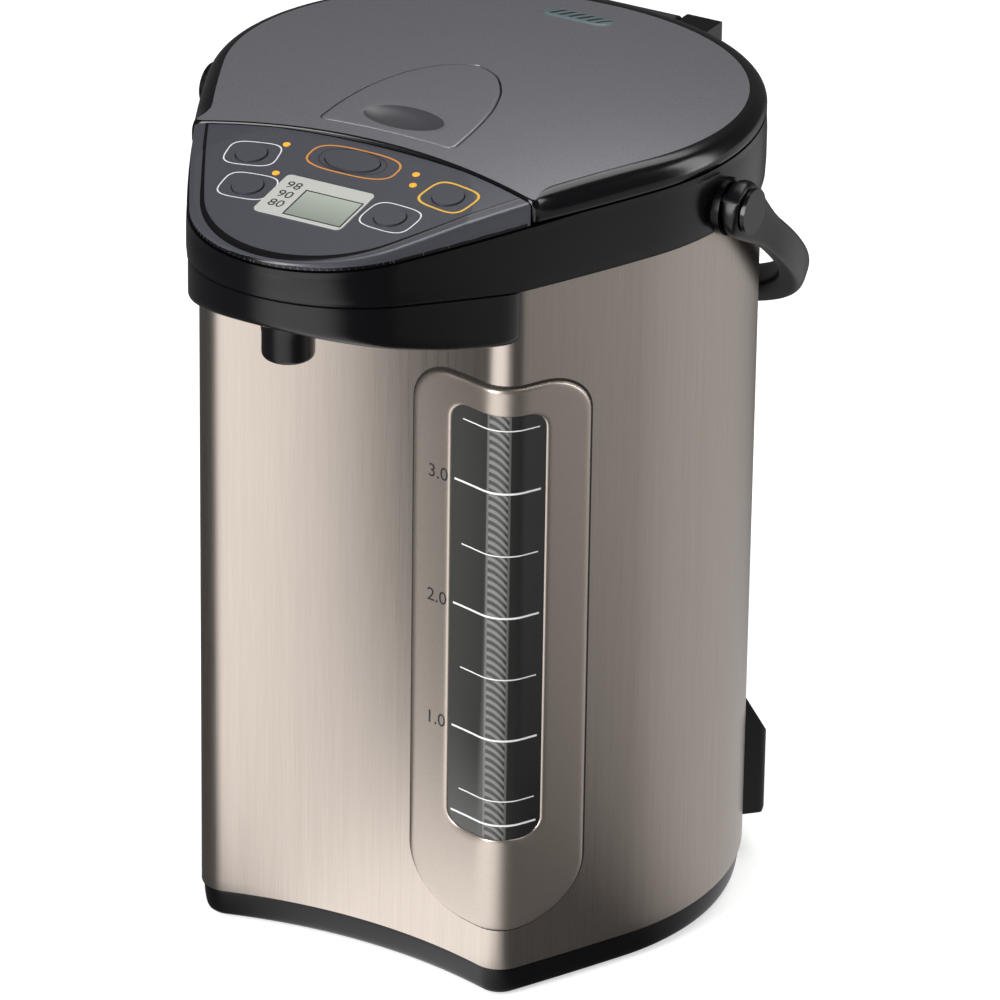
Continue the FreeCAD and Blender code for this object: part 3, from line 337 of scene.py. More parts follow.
# Inside: bright liner and pins, duller cast metal, and soft pale or dark plastics and rubber.
steelPlain = plainMetalMaterial("polishedStainlessLiner", "#B9B7B3", 0.24)
steelPin = plainMetalMaterial("groundSteelPin", "#A7A7AA", 0.3)
aluminium = plainMetalMaterial("castAluminium", "#A9A9AB", 0.45, 1.2)
rubber = mouldedMaterial("blackRubberFoot", "#1B1B1B", 0.7, 0.0, 0.5, 0.3)
silicone = mouldedMaterial("whiteSilicone", "#CFCBC2", 0.5, 0.0, 0.8, 0.1, Subsurface_Weight=0.08)
whitePlastic = mouldedMaterial("whiteAcetal", "#D2D0C9", 0.42)
boardGreen = mouldedMaterial("greenBoardLacquer", "#1D5A34", 0.35, 0.2, 1.5, 0.2)
stripe = mouldedMaterial("darkBackingPolystyrene", "#232323", 0.4)
print("materials ready")

# Body, base, collar and beak

bodyPts, bodyNrm = bodyLoop()
headPts, headNrm = headLoop()


# A wall that follows a loop seen from above, through rows of (outwards, height).
def fromProfile(name, loop, normals, profile, **options):
    return gridObject(name, wallGrid(loop, normals, profile), closed=True, **options)


sleeveRows = [(-0.8, 12.6), (-0.5, 11.9), (-0.1, 11.9), (0.0, 12.3)]
sleeveRows += [(0.0, z) for z in np.linspace(16, 268, 10)]
sleeveRows += [(0.0, 270.1), (-0.2, 270.4), (-0.8, 270.4), (-0.8, 262.0)]
steelSleeve = fromProfile("steelSleeve", bodyPts, bodyNrm, sleeveRows, flip=True)
finish(steelSleeve, steel, "pot", "outer_shell", slotName="steel_brushed")

baseRows = [(-6.5, 2.2), (-5.0, 1.1), (-3.9, 1.0), (-3.1, 1.2), (-2.4, 1.8), (-1.9, 2.8), (-1.5, 4.6),
            (-1.15, 7.2), (-0.95, 9.8), (-0.9, 11.0), (-1.05, 11.5), (-1.5, 11.75), (-3.0, 11.8)]
baseRing = fromProfile("baseRing", bodyPts, bodyNrm, baseRows, flip=True)
finish(baseRing, blackSatin, "pot", "base_skirt", slotName="black_matte")

climb = pot["partingSlope"] * (pot["partingY"] - headPts[:, 1])
partingZ = np.maximum(pot["steelTop"], pot["steelTop"] + climb)
topZ = seamZ(headPts[:, 1])
inward, along = quarter(2.4, 6)
collarRows = [(-2.4, partingZ + 0.2), (-0.5, partingZ + 0.1), (-0.1, partingZ + 0.45), (0.0, partingZ + 1.0)]
collarRows += [(0.25, partingZ + (topZ - 2.4 - partingZ) * k) for k in (0.25, 0.5, 0.75)]
collarRows += [(-a, topZ - 2.4 + b) for a, b in zip(inward, along)]
collarRows += [(-2.9, topZ - 0.5), (-2.9, topZ - 16.0)]
collarBand = fromProfile("collarBand", headPts, headNrm, collarRows, flip=True)
finish(collarBand, blackGloss, "pot", slotName="black_gloss")
print("body and collar ready")

beak = {"top": 270.1, "low": 250.7, "rise": 16.0, "round": 3.6, "rearY": -84.0}
frontPick = np.where(headPts[:, 1] < beak["rearY"])[0]
edgePts, edgeNrm = headPts[frontPick], headNrm[frontPick]


# Underside of the beak: flat at the corners, then rising ever faster to the nose.
def beakLow(y):
    return beak["low"] + beak["rise"] * np.clip((-y - 90.0) / 62.0, 0, 1) ** 1.5


# Wall rows down the outline, a rounded lower edge, then a ruled underside back to the hollow front.
def beakGrid():
    top = beak["top"] + np.maximum(0.0, pot["partingSlope"] * (pot["partingY"] - edgePts[:, 1]))
    low = beakLow(edgePts[:, 1])
    lowRound = beak["round"]
    ins, alg = quarter(lowRound, 7)
    profile = [(-2.4, top - 0.2), (-0.8, top - 0.1), (-0.35, top - 0.5), (-0.3, top - 1.2)]
    profile += [(-0.3, top + (low + lowRound - top) * k) for k in (0.3, 0.6, 0.85)]
    profile += [(-0.3 - a, low + lowRound - b) for a, b in zip(ins, alg)]
    grid = wallGrid(edgePts, edgeNrm, profile)
    tuck = np.zeros(len(edgePts))
    tuck[[0, -1]], tuck[[1, -2]], tuck[[2, -3]] = -3.4, -1.0, -0.25
    grid[:, :, :2] += edgeNrm[None] * tuck[None, :, None]
    last = grid[-1]
    share = np.linspace(1, -1, len(edgePts))
    bx = 57.5 * np.sign(share) * np.abs(share) ** 0.8
    by = frontY(bx) - 0.2
    target = np.stack([bx, by, beakLow(by)], 1)
    rows = [last + (target - last) * k for k in np.linspace(0, 1, 12)[1:]]
    for row in rows:
        row[:, 2] = np.minimum(row[:, 2], beakLow(row[:, 1]))
    return np.concatenate([grid, np.array(rows)])


# The hollow front of the steel: an arc of large radius.
def frontY(x):
    r = (pot["cornerX"] ** 2 + pot["scoop"] ** 2) / (2 * pot["scoop"])
    return pot["cornerY"] + pot["scoop"] - r + np.sqrt(r * r - np.asarray(x) ** 2)


beakHousing = gridObject("beakHousing", beakGrid(), closed=False)
finish(beakHousing, blackGloss, "pot", "beak_shell", slotName="black_gloss")

spout = {"y": -131.5, "low": 249.0, "high": 271.0, "outer": 9.0, "bore": 6.0}


# (radius, z) rows turned about a vertical axis through centre.
def lathe(name, profile, centre, count=64):
    a = np.linspace(0, 2 * math.pi, count, endpoint=False)
    c, s = np.cos(a), np.sin(a)
    rows = [np.stack([centre[0] + r * c, centre[1] + r * s, np.full(count, z)], 1) for r, z in profile]
    return gridObject(name, np.array(rows), closed=True, flip=False)


lipIn, lipUp = quarter(2.0, 5)
spoutRows = [(spout["bore"], spout["high"]), (spout["bore"], spout["low"] + 0.8),
             (spout["bore"] + 0.4, spout["low"] + 0.1)]
spoutRows += [(spout["outer"] - 2.0 + b, spout["low"] + a) for a, b in zip(lipIn, lipUp)]
spoutRows += [(spout["outer"], 258.0), (spout["outer"] + 0.6, 262.5), (spout["outer"] + 1.4, 264.0)]
spoutTip = lathe("spoutTip", spoutRows, (0, spout["y"]))
finish(spoutTip, blackSatin, "pot", "spout_nozzle", slotName="black_gloss")
print("beak and spout ready")

# Lid

lid = {"bevel": 6.2, "edgeZ": 295.0, "wallZ": 294.3, "seamEdge": 0.7, "gap": 0.25,
       "leverHalf": 26.0, "leverFront": -68.0, "leverRear": -5.0, "leverGap": 0.6}


# The arc between lid and panel, seen from above.
def seamArcY(x, gap):
    return pot["panelRearY"] - pot["panelArc"] + np.sqrt((pot["panelArc"] + gap) ** 2 - np.asarray(x) ** 2)


# Evenly spaced points along a closed polyline.
def resample(points, count):
    closed = np.concatenate([points, points[:1]])
    step = np.hypot(*np.diff(closed, axis=0).T)
    s = np.concatenate([[0], np.cumsum(step)])
    t = np.linspace(0, s[-1], count, endpoint=False)
    return np.stack([np.interp(t, s, closed[:, k]) for k in (0, 1)], 1)


# Outward normals of a clockwise loop: across the chord between each point's neighbours.
def loopNormals(points):
    d = np.roll(points, -1, 0) - np.roll(points, 1, 0)
    d /= np.hypot(d[:, 0], d[:, 1])[:, None]
    return np.stack([-d[:, 1], d[:, 0]], 1)


# Rear part of the head outline closed by the seam arc; clockwise from the rear.
def lidBoundary(gap, count):
    p = headPts
    behind = p[:, 1] > seamArcY(np.clip(p[:, 0], -100, 100), gap)
    order = np.where(behind)[0]
    split = np.where(np.diff(order) > 1)[0]
    right, left = order[:split[0] + 1], order[split[0] + 1:]
    xEnd = p[right[-1], 0]
    xs = np.linspace(xEnd - 0.5, -(xEnd - 0.5), 60)
    arc = np.stack([xs, seamArcY(xs, gap)], 1)
    return resample(np.concatenate([p[right], arc, p[left]]), count)


lidRing = lidBoundary(lid["gap"], 320)
lidNrm = loopNormals(lidRing)
onSeam = np.abs(lidRing[:, 1] - seamArcY(lidRing[:, 0], lid["gap"])) < 0.35
onSeam &= lidRing[:, 1] < -60
nearSeam = np.array([np.min(np.hypot(*(lidRing[onSeam] - q).T)) for q in lidRing])
widening = (lid["bevel"] - lid["seamEdge"]) * np.clip(nearSeam / 9.0, 0, 1)
rimWidth = np.where(onSeam, lid["seamEdge"], lid["seamEdge"] + widening)


# Each value of a closed row drawn towards the mean of its two neighbours, several times.
def smoothLoop(values, times):
    for _ in range(times):
        values = 0.25 * np.roll(values, 1, 0) + 0.5 * values + 0.25 * np.roll(values, -1, 0)
    return values


rimWidth = smoothLoop(rimWidth, 3)
lidNrm = smoothLoop(lidNrm, 3)
lidNrm /= np.hypot(lidNrm[:, 0], lidNrm[:, 1])[:, None]


# A wall up from the seam, then a rounded shoulder that meets the crown at the inner edge.
def lidBevelGrid():
    innerPts = lidRing - lidNrm * rimWidth[:, None]
    crownZ = domeZ(innerPts[:, 0], innerPts[:, 1])
    low = np.full(len(lidRing), lid["wallZ"])
    edge = np.minimum(lid["edgeZ"] + 0.9 * np.clip((crownZ - lid["edgeZ"]) / 8.0, 0, 1), crownZ - 0.5)
    edge = np.where(onSeam, crownZ - 0.8, edge)
    edge = smoothLoop(edge, 3)
    rows = [np.column_stack([lidRing - lidNrm * 2.2, low + 0.2]),
            np.column_stack([lidRing - lidNrm * 0.5, low]),
            np.column_stack([lidRing, low + 0.5])]
    for k in np.linspace(0, 1, 11):
        inset = rimWidth * (1 - math.cos(k * math.pi / 2)) ** 0.9
        p = lidRing - lidNrm * inset[:, None]
        rows.append(np.column_stack([p, edge + (crownZ - edge) * math.sin(k * math.pi / 2)]))
    return np.array(rows)


# D outline: straight in front, domed to the rear, through width shares at depth shares; clockwise.
def leverOutline(grow, count=160):
    length = lid["leverRear"] - lid["leverFront"]
    share = np.array([(1.0, 0.0), (0.985, 0.25), (0.9, 0.5), (0.7, 0.74), (0.38, 0.93), (0.0, 1.0)])
    t = np.linspace(0, 1, 40)
    knots = np.array([0, 0.19, 0.39, 0.6, 0.82, 1.0])
    w = np.interp(t, knots, share[:, 0])
    d = np.interp(t, knots, share[:, 1])
    for _ in range(8):
        w[1:-1] = 0.25 * w[:-2] + 0.5 * w[1:-1] + 0.25 * w[2:]
        d[1:-1] = 0.25 * d[:-2] + 0.5 * d[1:-1] + 0.25 * d[2:]
    right = np.column_stack([lid["leverHalf"] * w, lid["leverFront"] + length * d])
    left = right[::-1][1:] * [-1, 1]
    front = np.column_stack([np.linspace(-1, 1, 21)[1:-1] * lid["leverHalf"],
                             lid["leverFront"] + 0.7 * (1 - np.linspace(-1, 1, 21)[1:-1] ** 2)])
    ring = resample(np.concatenate([right, left, front])[::-1], count)
    ring = smoothLoop(ring, 3)
    return ring + loopNormals(ring) * grow


# Points of a star-shaped ring at the asked angles about centre.
def polarMatch(ring, centre, angles):
    rel = ring - centre
    a = np.arctan2(rel[:, 1], rel[:, 0])
    order = np.argsort(a)
    r = np.hypot(rel[:, 0], rel[:, 1])
    rr = np.interp(angles, a[order], r[order], period=2 * math.pi)
    return centre + rr[:, None] * np.stack([np.cos(angles), np.sin(angles)], 1)


# From the bevel's inner edge to the lever opening, all on the crown, then a short wall down.
def crownGrid():
    centre = np.array([0.0, -40.0])
    innerPts = lidRing - lidNrm * rimWidth[:, None]
    rel = innerPts - centre
    hole = polarMatch(leverOutline(lid["leverGap"]), centre, np.arctan2(rel[:, 1], rel[:, 0]))
    rows = []
    for k in np.linspace(0, 1, 26) ** 0.9:
        p = innerPts + (hole - innerPts) * k
        rows.append(np.column_stack([p, domeZ(p[:, 0], p[:, 1])]))
    soft = hole + (centre - hole) * 0.006
    rows.append(np.column_stack([soft, domeZ(soft[:, 0], soft[:, 1]) - 0.35]))
    rows.append(np.column_stack([soft, domeZ(soft[:, 0], soft[:, 1]) - 3.2]))
    return np.array(rows)


lidBevel = gridObject("lidBevel", lidBevelGrid(), flip=True, smoothAngle=50)
finish(lidBevel, blackGloss, "lid", "lid_cover", slotName="black_gloss")
lidCrown = gridObject("lidCrown", crownGrid(), flip=True, smoothAngle=40)
finish(lidCrown, lidSatin, "lid", slotName="lid_metallic")


# Rings from the finger recess out to the D outline, with a small rounded edge.
def leverGrid(inner):
    centre = np.array([0.0, -56.0])
    ring = leverOutline(0.0)
    rel = ring - centre
    ang = np.arctan2(rel[:, 1], rel[:, 0])
    a, b = 15.0, 8.0
    lip = centre + np.column_stack([a * np.cos(ang), b * np.sin(ang)])
    rows = []
    if inner:
        for e in np.linspace(0.0, 1.0, 14):
            p = centre + (lip - centre) * e
            rows.append(np.column_stack([p, domeZ(p[:, 0], p[:, 1]) - 1.9 * (1 - e ** 3.2)]))
        return np.array(rows)
    nrm = loopNormals(ring)
    edge = ring - nrm * 0.9
    for k in np.linspace(0, 1, 14):
        p = lip + (edge - lip) * k
        lift = 0.12 * math.sin(min(1.0, k * 6) * math.pi / 2)
        rows.append(np.column_stack([p, domeZ(p[:, 0], p[:, 1]) + lift]))
    for ins, drop in ((0.45, 0.02), (0.15, 0.25), (0.0, 0.7), (0.0, 3.2)):
        p = ring - nrm * ins
        rows.append(np.column_stack([p, domeZ(p[:, 0], p[:, 1]) + 0.12 - drop]))
    return np.array(rows)


leverFlap = gridObject("leverFlap", leverGrid(False), flip=False, smoothAngle=40)
finish(leverFlap, lidSatin, "lid_lever", "lid_lever", slotName="lid_metallic")
leverRecess = gridObject("leverRecess", leverGrid(True), flip=False, smoothAngle=60)
# Painted shade: the finger recess is coloured darker than the lid lacquer it is moulded in, for the shade
# that falls in it.
recessPaintedShade = mouldedMaterial("recessPaintedShadeGrey", "#3E3D42", 0.4)
finish(leverRecess, recessPaintedShade, "lid_lever", slotName="lid_metallic")
print("lid ready")

vent = {"y": 65.0, "half": 13.5, "round": 6.0, "slots": 6}


# Rings of a round-ended oval from its centre line out, raised a little over the crown.
def ventGrid():
    a = np.linspace(0, 2 * math.pi, 120, endpoint=False)
    straight = vent["half"] - vent["round"]
    cx = np.clip(np.cos(a) * 40, -1, 1) * straight
    edge = np.column_stack([cx + vent["round"] * np.cos(a), vent["y"] + vent["round"] * np.sin(a)])
    mid = np.column_stack([cx, np.full(len(a), vent["y"])])
    rows = []
    for k, lift in ((0, 0.5), (0.4, 0.5), (0.7, 0.45), (0.86, 0.35), (0.95, 0.15), (1.0, -0.4)):
        p = mid + (edge - mid) * k
        rows.append(np.column_stack([p, domeZ(p[:, 0], p[:, 1]) + lift]))
    return np.array(rows)


# Teal-grey moulding with six steam slots pressed into it; the inside of each slot is painted dark as shade.
def ventMaterial():
    mat, tree, shader = newMaterial("tealVentPolypropylene", "#5F7074", 0.0, 0.42)
    split = addNode(tree, "ShaderNodeSeparateXYZ", Vector=objectCoords(tree, (1000, 1000, 1000)))
    x, y = split.outputs[0], calc(tree, "SUBTRACT", split.outputs[1], vent["y"])
    slanted = calc(tree, "ADD", x, calc(tree, "MULTIPLY", y, -0.35))
    wave = calc(tree, "PINGPONG", calc(tree, "ADD", slanted, 30.0), 1.85)
    slotShade = calc(tree, "LESS_THAN", wave, 0.85)
    inRow = calc(tree, "LESS_THAN", calc(tree, "ABSOLUTE", y), 3.6)
    inLine = calc(tree, "LESS_THAN", calc(tree, "ABSOLUTE", slanted), 11.0)
    slotShadeMask = calc(tree, "MULTIPLY", slotShade, calc(tree, "MULTIPLY", inRow, inLine))
    # Painted shade: the slot mask turns the teal near-black where shade falls inside the slots.
    tree.links.new(blend(tree, slotShadeMask, toLinear("#5F7074"), toLinear("#0F1214")), shader.inputs["Base Color"])
    bump = addNode(tree, "ShaderNodeBump", {"invert": True}, Strength=0.9, Distance=1.2 * mm, Height=slotShadeMask)
    tree.links.new(bump.outputs[0], shader.inputs["Normal"])
    return mat


ventInsert = gridObject("ventInsert", ventGrid(), flip=True, smoothAngle=60)
finish(ventInsert, ventMaterial(), "lid", "steam_vent", slotName="vent_teal")

# Control panel

panel = {"inset": 0.9, "rim": 5.0, "print": 0.07, "numberLift": 0.36}
panelPick = np.where(headPts[:, 1] < seamArcY(np.clip(headPts[:, 0], -100, 100), 0) - 1.2)[0]


# A rounded band over the edge of the deck, from the deck down to the collar.
def panelRimGrid():
    p, n = headPts[panelPick], headNrm[panelPick]
    low = seamZ(p[:, 1]) + 0.5
    rows = []
    w = panel["rim"]
    inner = p - n * (panel["inset"] + w)
    deckIn = np.minimum(panelZ(inner[:, 1]), domeZ(inner[:, 0], inner[:, 1]) - 0.8) + 0.09
    edge = np.minimum(low + 1.0, deckIn - 0.3)
    rows.append(np.column_stack([inner, deckIn - 0.25]))
    for k in np.linspace(1, 0, 11):
        q = p - n * (panel["inset"] + w * (1 - math.cos(k * math.pi / 2)) ** 0.9)
        rows.append(np.column_stack([q, edge + (deckIn - edge) * math.sin(k * math.pi / 2)]))
    rows.append(np.column_stack([p - n * panel["inset"], low]))
    rows.append(np.column_stack([p - n * (panel["inset"] + 1.5), low - 0.1]))
    return np.array(rows)


panelRim = gridObject("panelRim", panelRimGrid(), closed=False, flip=False, smoothAngle=50)
finish(panelRim, blackGloss, "pot", slotName="black_gloss")


# Satin dark-grey film over the moulding: faint sparkle, low gloss.
def panelMaterial():
    mat, tree, shader = newMaterial("satinGreyPanelFilm", "#4B4C54", 0.25, 0.34,
                                    Coat_Weight=0.2, Coat_Roughness=0.3)
    noise = grainBump(tree, shader, 0.5, 0.08, 0.01)
    tone = blend(tree, noise.outputs[0], toLinear("#44454D"), toLinear("#53545C"))
    tree.links.new(tone, shader.inputs["Base Color"])
    roughRange(tree, shader, noise.outputs[0], 0.3, 0.4)
    return mat


panelGrey = panelMaterial()
inkWhite = newMaterial("whiteScreenInk", "#E4E4E6", 0.0, 0.45)[0]
inkOrange = newMaterial("orangeScreenInk", "#D08A3C", 0.0, 0.45)[0]
inkYellow = newMaterial("yellowScreenInk", "#E2B43E", 0.0, 0.45)[0]
inkBlack = newMaterial("blackScreenInk", "#1C1B1D", 0.0, 0.5)[0]


# A printed outline: a superellipse band of that width lying just over the deck.
def ringInk(name, material, x, y, a, b, width, power=3.2, turn=0.0):
    ang = np.linspace(0, 2 * math.pi, 96, endpoint=False)
    c, s = np.cos(ang), np.sin(ang)
    unit = np.stack([np.sign(c) * np.abs(c) ** (2 / power), np.sign(s) * np.abs(s) ** (2 / power)], 1)
    rows = []
    for cut in (0.0, width):
        p = unit * [a - cut, b - cut]
        t = math.radians(turn)
        p = p @ np.array([[math.cos(t), math.sin(t)], [-math.sin(t), math.cos(t)]]) + [x, y]
        rows.append(np.column_stack([p, panelZ(p[:, 1]) + panel["print"]]))
    ring = gridObject(name, np.array(rows), closed=True, flip=False)
    return finish(ring, material, "pot", slotName="panel_grey")


ringInk("dispenseOutline", inkOrange, -1.0, -87.6, 17.0, 7.9, 0.7, 3.0)
ringInk("dispenseInner", inkBlack, -1.5, -87.4, 12.6, 6.9, 0.35, 2.2)
ringInk("reboilOutline", inkWhite, -35.3, -96.0, 9.4, 7.4, 0.45, 3.6, 12)
ringInk("temperatureOutline", inkWhite, -26.2, -114.2, 9.6, 7.8, 0.45, 3.6, 6)
ringInk("unlockOutline", inkYellow, 39.5, -94.4, 9.6, 8.0, 0.8, 3.6, -10)
ringInk("timerOutline", inkWhite, 27.9, -112.8, 9.6, 8.0, 0.45, 3.6, -4)

# Cream printed border round a greenish-grey liquid-crystal glass, by place on the deck; the glass carries a
# painted reflection that runs lighter towards the rear.
def displayMaterial():
    mat, tree, shader = newMaterial("printedDisplayGlass", "#9FA69C", 0.0, 0.18,
                                    Coat_Weight=0.6, Coat_Roughness=0.05)
    split = addNode(tree, "ShaderNodeSeparateXYZ", Vector=objectCoords(tree, (1000, 1000, 1000)))
    dx = calc(tree, "ABSOLUTE", calc(tree, "SUBTRACT", split.outputs[0], 4.6))
    dy = calc(tree, "ABSOLUTE", calc(tree, "SUBTRACT", split.outputs[1], -117.0))
    inside = calc(tree, "MULTIPLY", calc(tree, "LESS_THAN", dx, 10.6), calc(tree, "LESS_THAN", dy, 7.4))
    framed = calc(tree, "MULTIPLY", calc(tree, "LESS_THAN", dx, 11.2), calc(tree, "LESS_THAN", dy, 8.0))
    # Painted reflection: the glass tone runs from darker at the front to lighter at the rear.
    paintedGlassReflection = addNode(tree, "ShaderNodeMapRange", i0=split.outputs[1],
                   i1=-125.0, i2=-108.0, i3=0.0, i4=1.0).outputs[0]
    glassTone = blend(tree, paintedGlassReflection, toLinear("#8E968C"), toLinear("#B4BBB0"))
    outer = blend(tree, framed, toLinear("#C4C6BF"), toLinear("#3A3D3B"))
    tree.links.new(blend(tree, inside, outer, glassTone), shader.inputs["Base Color"])
    return mat


display = displayMaterial()
lampGlow = newMaterial("amberLampLens", "#F0B040", 0.0, 0.25, Emission_Color=toLinear("#E8A030"),
                       Emission_Strength=0.25)[0]


# Flat outline points of generic numbers, in mm, centred on the origin.
def textMesh(words, height):
    curve = bpy.data.curves.new("numberText", "FONT")
    curve.body = words
    curve.size = height * 1.38
    curve.align_x = curve.align_y = "CENTER"
    curve.resolution_u = 4
    holder = bpy.data.objects.new("numberText", curve)
    bpy.context.scene.collection.objects.link(holder)
    bpy.context.view_layer.update()
    mesh = bpy.data.meshes.new_from_object(holder.evaluated_get(bpy.context.evaluated_depsgraph_get()))
    co = np.zeros(len(mesh.vertices) * 3)
    mesh.vertices.foreach_get("co", co)
    faces = [tuple(poly.vertices) for poly in mesh.polygons]
    bpy.data.objects.remove(holder)
    bpy.data.curves.remove(curve)
    bpy.data.meshes.remove(mesh)
    return co.reshape(-1, 3)[:, :2], faces


# A number lying just over the display's glass.
def deckNumber(name, words, x, y, height):
    flat, faces = textMesh(words, height)
    p = flat + [x, y]
    number = makeMesh(name, np.column_stack([p, panelZ(p[:, 1]) + panel["numberLift"]]), faces)
    return finish(number, inkBlack, "pot", slotName="panel_grey")


for label, y in (("98", -108.6), ("90", -114.4), ("80", -120.2)):
    deckNumber("heat" + label, label, -11.6, y, 4.2)
print("panel ready")

# Gauge window on the right front corner

gauge = {"dir": -69.0, "mid": 19.6, "half": 29.6, "low": 28.0, "high": 234.0, "proud": 1.7,
         "glassMid": 20.0, "glassHalf": 15.6, "glassLow": 63.5, "glassHigh": 224.0,
         "floorZ": 54.9, "litre": 46.8}
tangent = np.array([-math.sin(math.radians(gauge["dir"])), math.cos(math.radians(gauge["dir"]))])
cornerPick = np.where((bodyPts[:, 0] > -30) & (bodyPts[:, 1] < -20))[0]
cornerT = bodyPts[cornerPick] @ tangent
cornerOrder = np.argsort(cornerT)
skinT = np.linspace(cornerT.min(), cornerT.max(), 400)
alongT, chosen = cornerT[cornerOrder], cornerPick[cornerOrder]
skinP = np.stack([np.interp(skinT, alongT, bodyPts[chosen, k]) for k in (0, 1)], 1)
skinN = np.stack([np.interp(skinT, alongT, bodyNrm[chosen, k]) for k in (0, 1)], 1)
for _ in range(60):
    skinN[1:-1] = 0.25 * skinN[:-2] + 0.5 * skinN[1:-1] + 0.25 * skinN[2:]
skinN /= np.hypot(skinN[:, 0], skinN[:, 1])[:, None]


# A place on the corner of the body: t mm along the gauge's width, z up, grow mm off the steel.
def onSkin(t, z, grow):
    p = np.stack([np.interp(t, skinT, skinP[:, k]) for k in (0, 1)], -1)
    n = np.stack([np.interp(t, skinT, skinN[:, k]) for k in (0, 1)], -1)
    q = p + n * np.asarray(grow, float)[..., None]
    return np.concatenate([q, np.asarray(z, float)[..., None]], -1)


# A rectangle in (t, z) with rounded corners, evenly stepped, from the middle of the top round.
def roundedBox(mid, half, low, high, lowRound, highRound, count=260):
    runs = []
    for cx, cz, r, a0 in ((mid + half, high, highRound, 90), (mid + half, low, lowRound, 0),
                          (mid - half, low, lowRound, -90), (mid - half, high, highRound, -180)):
        a = np.radians(np.linspace(a0, a0 - 90, 16))
        sx = 1 if cx > mid else -1
        sz = 1 if cz > (low + high) / 2 else -1
        runs.append(np.column_stack([cx - sx * r + r * np.cos(a), cz - sz * r + r * np.sin(a)]))
    ring = np.concatenate(runs)
    return resample(np.concatenate([[[mid, high]], ring]), count)


# A ring drawn inwards by amount along its own normals.
def insetRing(ring, amount):
    return ring - loopNormals(ring) * amount


outerRing = roundedBox(gauge["mid"], gauge["half"], gauge["low"], gauge["high"], 22.0, 14.0)
glassRing = roundedBox(gauge["glassMid"], gauge["glassHalf"], gauge["glassLow"], gauge["glassHigh"], 6.0, 6.0)


# Rows from the edge on the steel, over a rounded lip, across to the window and down its rim.
def bezelGrid():
    rows = []
    for inset, grow in ((0.0, -0.2), (0.0, 0.7), (0.25, 1.2), (0.7, 1.55), (1.4, gauge["proud"])):
        r = insetRing(outerRing, inset)
        rows.append(onSkin(r[:, 0], r[:, 1], np.full(len(r), grow)))
    start, end = insetRing(outerRing, 1.4), insetRing(glassRing, -1.0)
    for k in np.linspace(0, 1, 14)[1:]:
        r = start + (end - start) * k
        rows.append(onSkin(r[:, 0], r[:, 1], np.full(len(r), gauge["proud"])))
    for inset, grow in ((-0.5, gauge["proud"] - 0.12), (-0.1, gauge["proud"] - 0.5), (0.0, 0.4)):
        r = insetRing(glassRing, inset)
        rows.append(onSkin(r[:, 0], r[:, 1], np.full(len(r), grow)))
    return np.array(rows)


# Champagne metallic lacquer on moulded plastic, matched to the steel beside it.
def champagneMaterial():
    mat, tree, shader = newMaterial("champagneSatinLacquer", "#A89D94", 0.9, 0.32,
                                    Coat_Weight=0.2, Coat_Roughness=0.3)
    vec = objectCoords(tree)
    flakes = addNode(tree, "ShaderNodeTexNoise", Vector=vec, Scale=1 / (0.5 * mm), Detail=2.0)
    tone = blend(tree, flakes.outputs[0], toLinear("#A2978E"), toLinear("#B5AAA1"))
    tree.links.new(tone, shader.inputs["Base Color"])
    roughRange(tree, shader, flakes.outputs[0], 0.32, 0.42)
    return mat


champagne = champagneMaterial()
gaugeBezel = gridObject("gaugeBezel", bezelGrid(), flip=True, smoothAngle=45)
finish(gaugeBezel, champagne, "pot", "window_bezel", slotName="champagne_satin")

# Painted shadow: a thin dark band lying just over the steel round the bezel stands for the shade in the gap,
# not a real groove.
shadowBandRows = []
for inset, grow in ((-0.9, 0.03), (-0.7, 0.08), (0.05, 0.08)):
    r = insetRing(outerRing, inset)
    shadowBandRows.append(onSkin(r[:, 0], r[:, 1], np.full(len(r), grow)))
bezelShadowBand = gridObject("bezelShadowBand", np.array(shadowBandRows), flip=True, smoothAngle=60)
bezelShadowPaint = newMaterial("shadowGapBlack", "#1A1715", 0.0, 0.6)[0]
finish(bezelShadowBand, bezelShadowPaint, "pot", slotName="black_matte")


# Smoked window with the twisted bright strip of the tube behind it, drawn by its own width and height; a
# painted reflection makes the window lighter towards its left side.
def paneMaterial():
    mat, tree, shader = newMaterial("smokedGaugeAcrylic", "#2B2B2A", 0.0, 0.1,
                                    Coat_Weight=0.3, Coat_Roughness=0.04)
    uvNode = addNode(tree, "ShaderNodeUVMap", {"uv_map": "flat"})
    split = addNode(tree, "ShaderNodeSeparateXYZ", Vector=uvNode.outputs[0])
    t = calc(tree, "SUBTRACT", split.outputs[0], 21.5)
    z = split.outputs[1]
    wide = calc(tree, "ABSOLUTE", t)
    inStrip = calc(tree, "LESS_THAN", wide, 3.3)
    edge = calc(tree, "MULTIPLY", calc(tree, "LESS_THAN", wide, 3.8), calc(tree, "GREATER_THAN", wide, 3.1))
    bow = calc(tree, "MULTIPLY", calc(tree, "MULTIPLY", t, t), 0.12)
    slope = calc(tree, "ADD", z, calc(tree, "ADD", calc(tree, "MULTIPLY", t, 0.75), bow))
    wave = calc(tree, "PINGPONG", slope, 1.5)
    band = addNode(tree, "ShaderNodeMapRange", {"interpolation_type": "SMOOTHSTEP"},
                   i0=wave, i1=0.55, i2=1.0).outputs[0]
    stripes = blend(tree, band, toLinear("#1B1B1B"), toLinear("#6E6D6A"))
    # Painted reflection: outside the strip the window runs lighter towards its left side.
    side = addNode(tree, "ShaderNodeMapRange", i0=t, i1=-14.0, i2=12.0, i3=1.0, i4=0.0).outputs[0]
    dark = blend(tree, side, toLinear("#1D1D1D"), toLinear("#3A3A38"))
    tone = blend(tree, inStrip, dark, stripes)
    tree.links.new(blend(tree, edge, tone, toLinear("#5C5B58")), shader.inputs["Base Color"])
    return mat


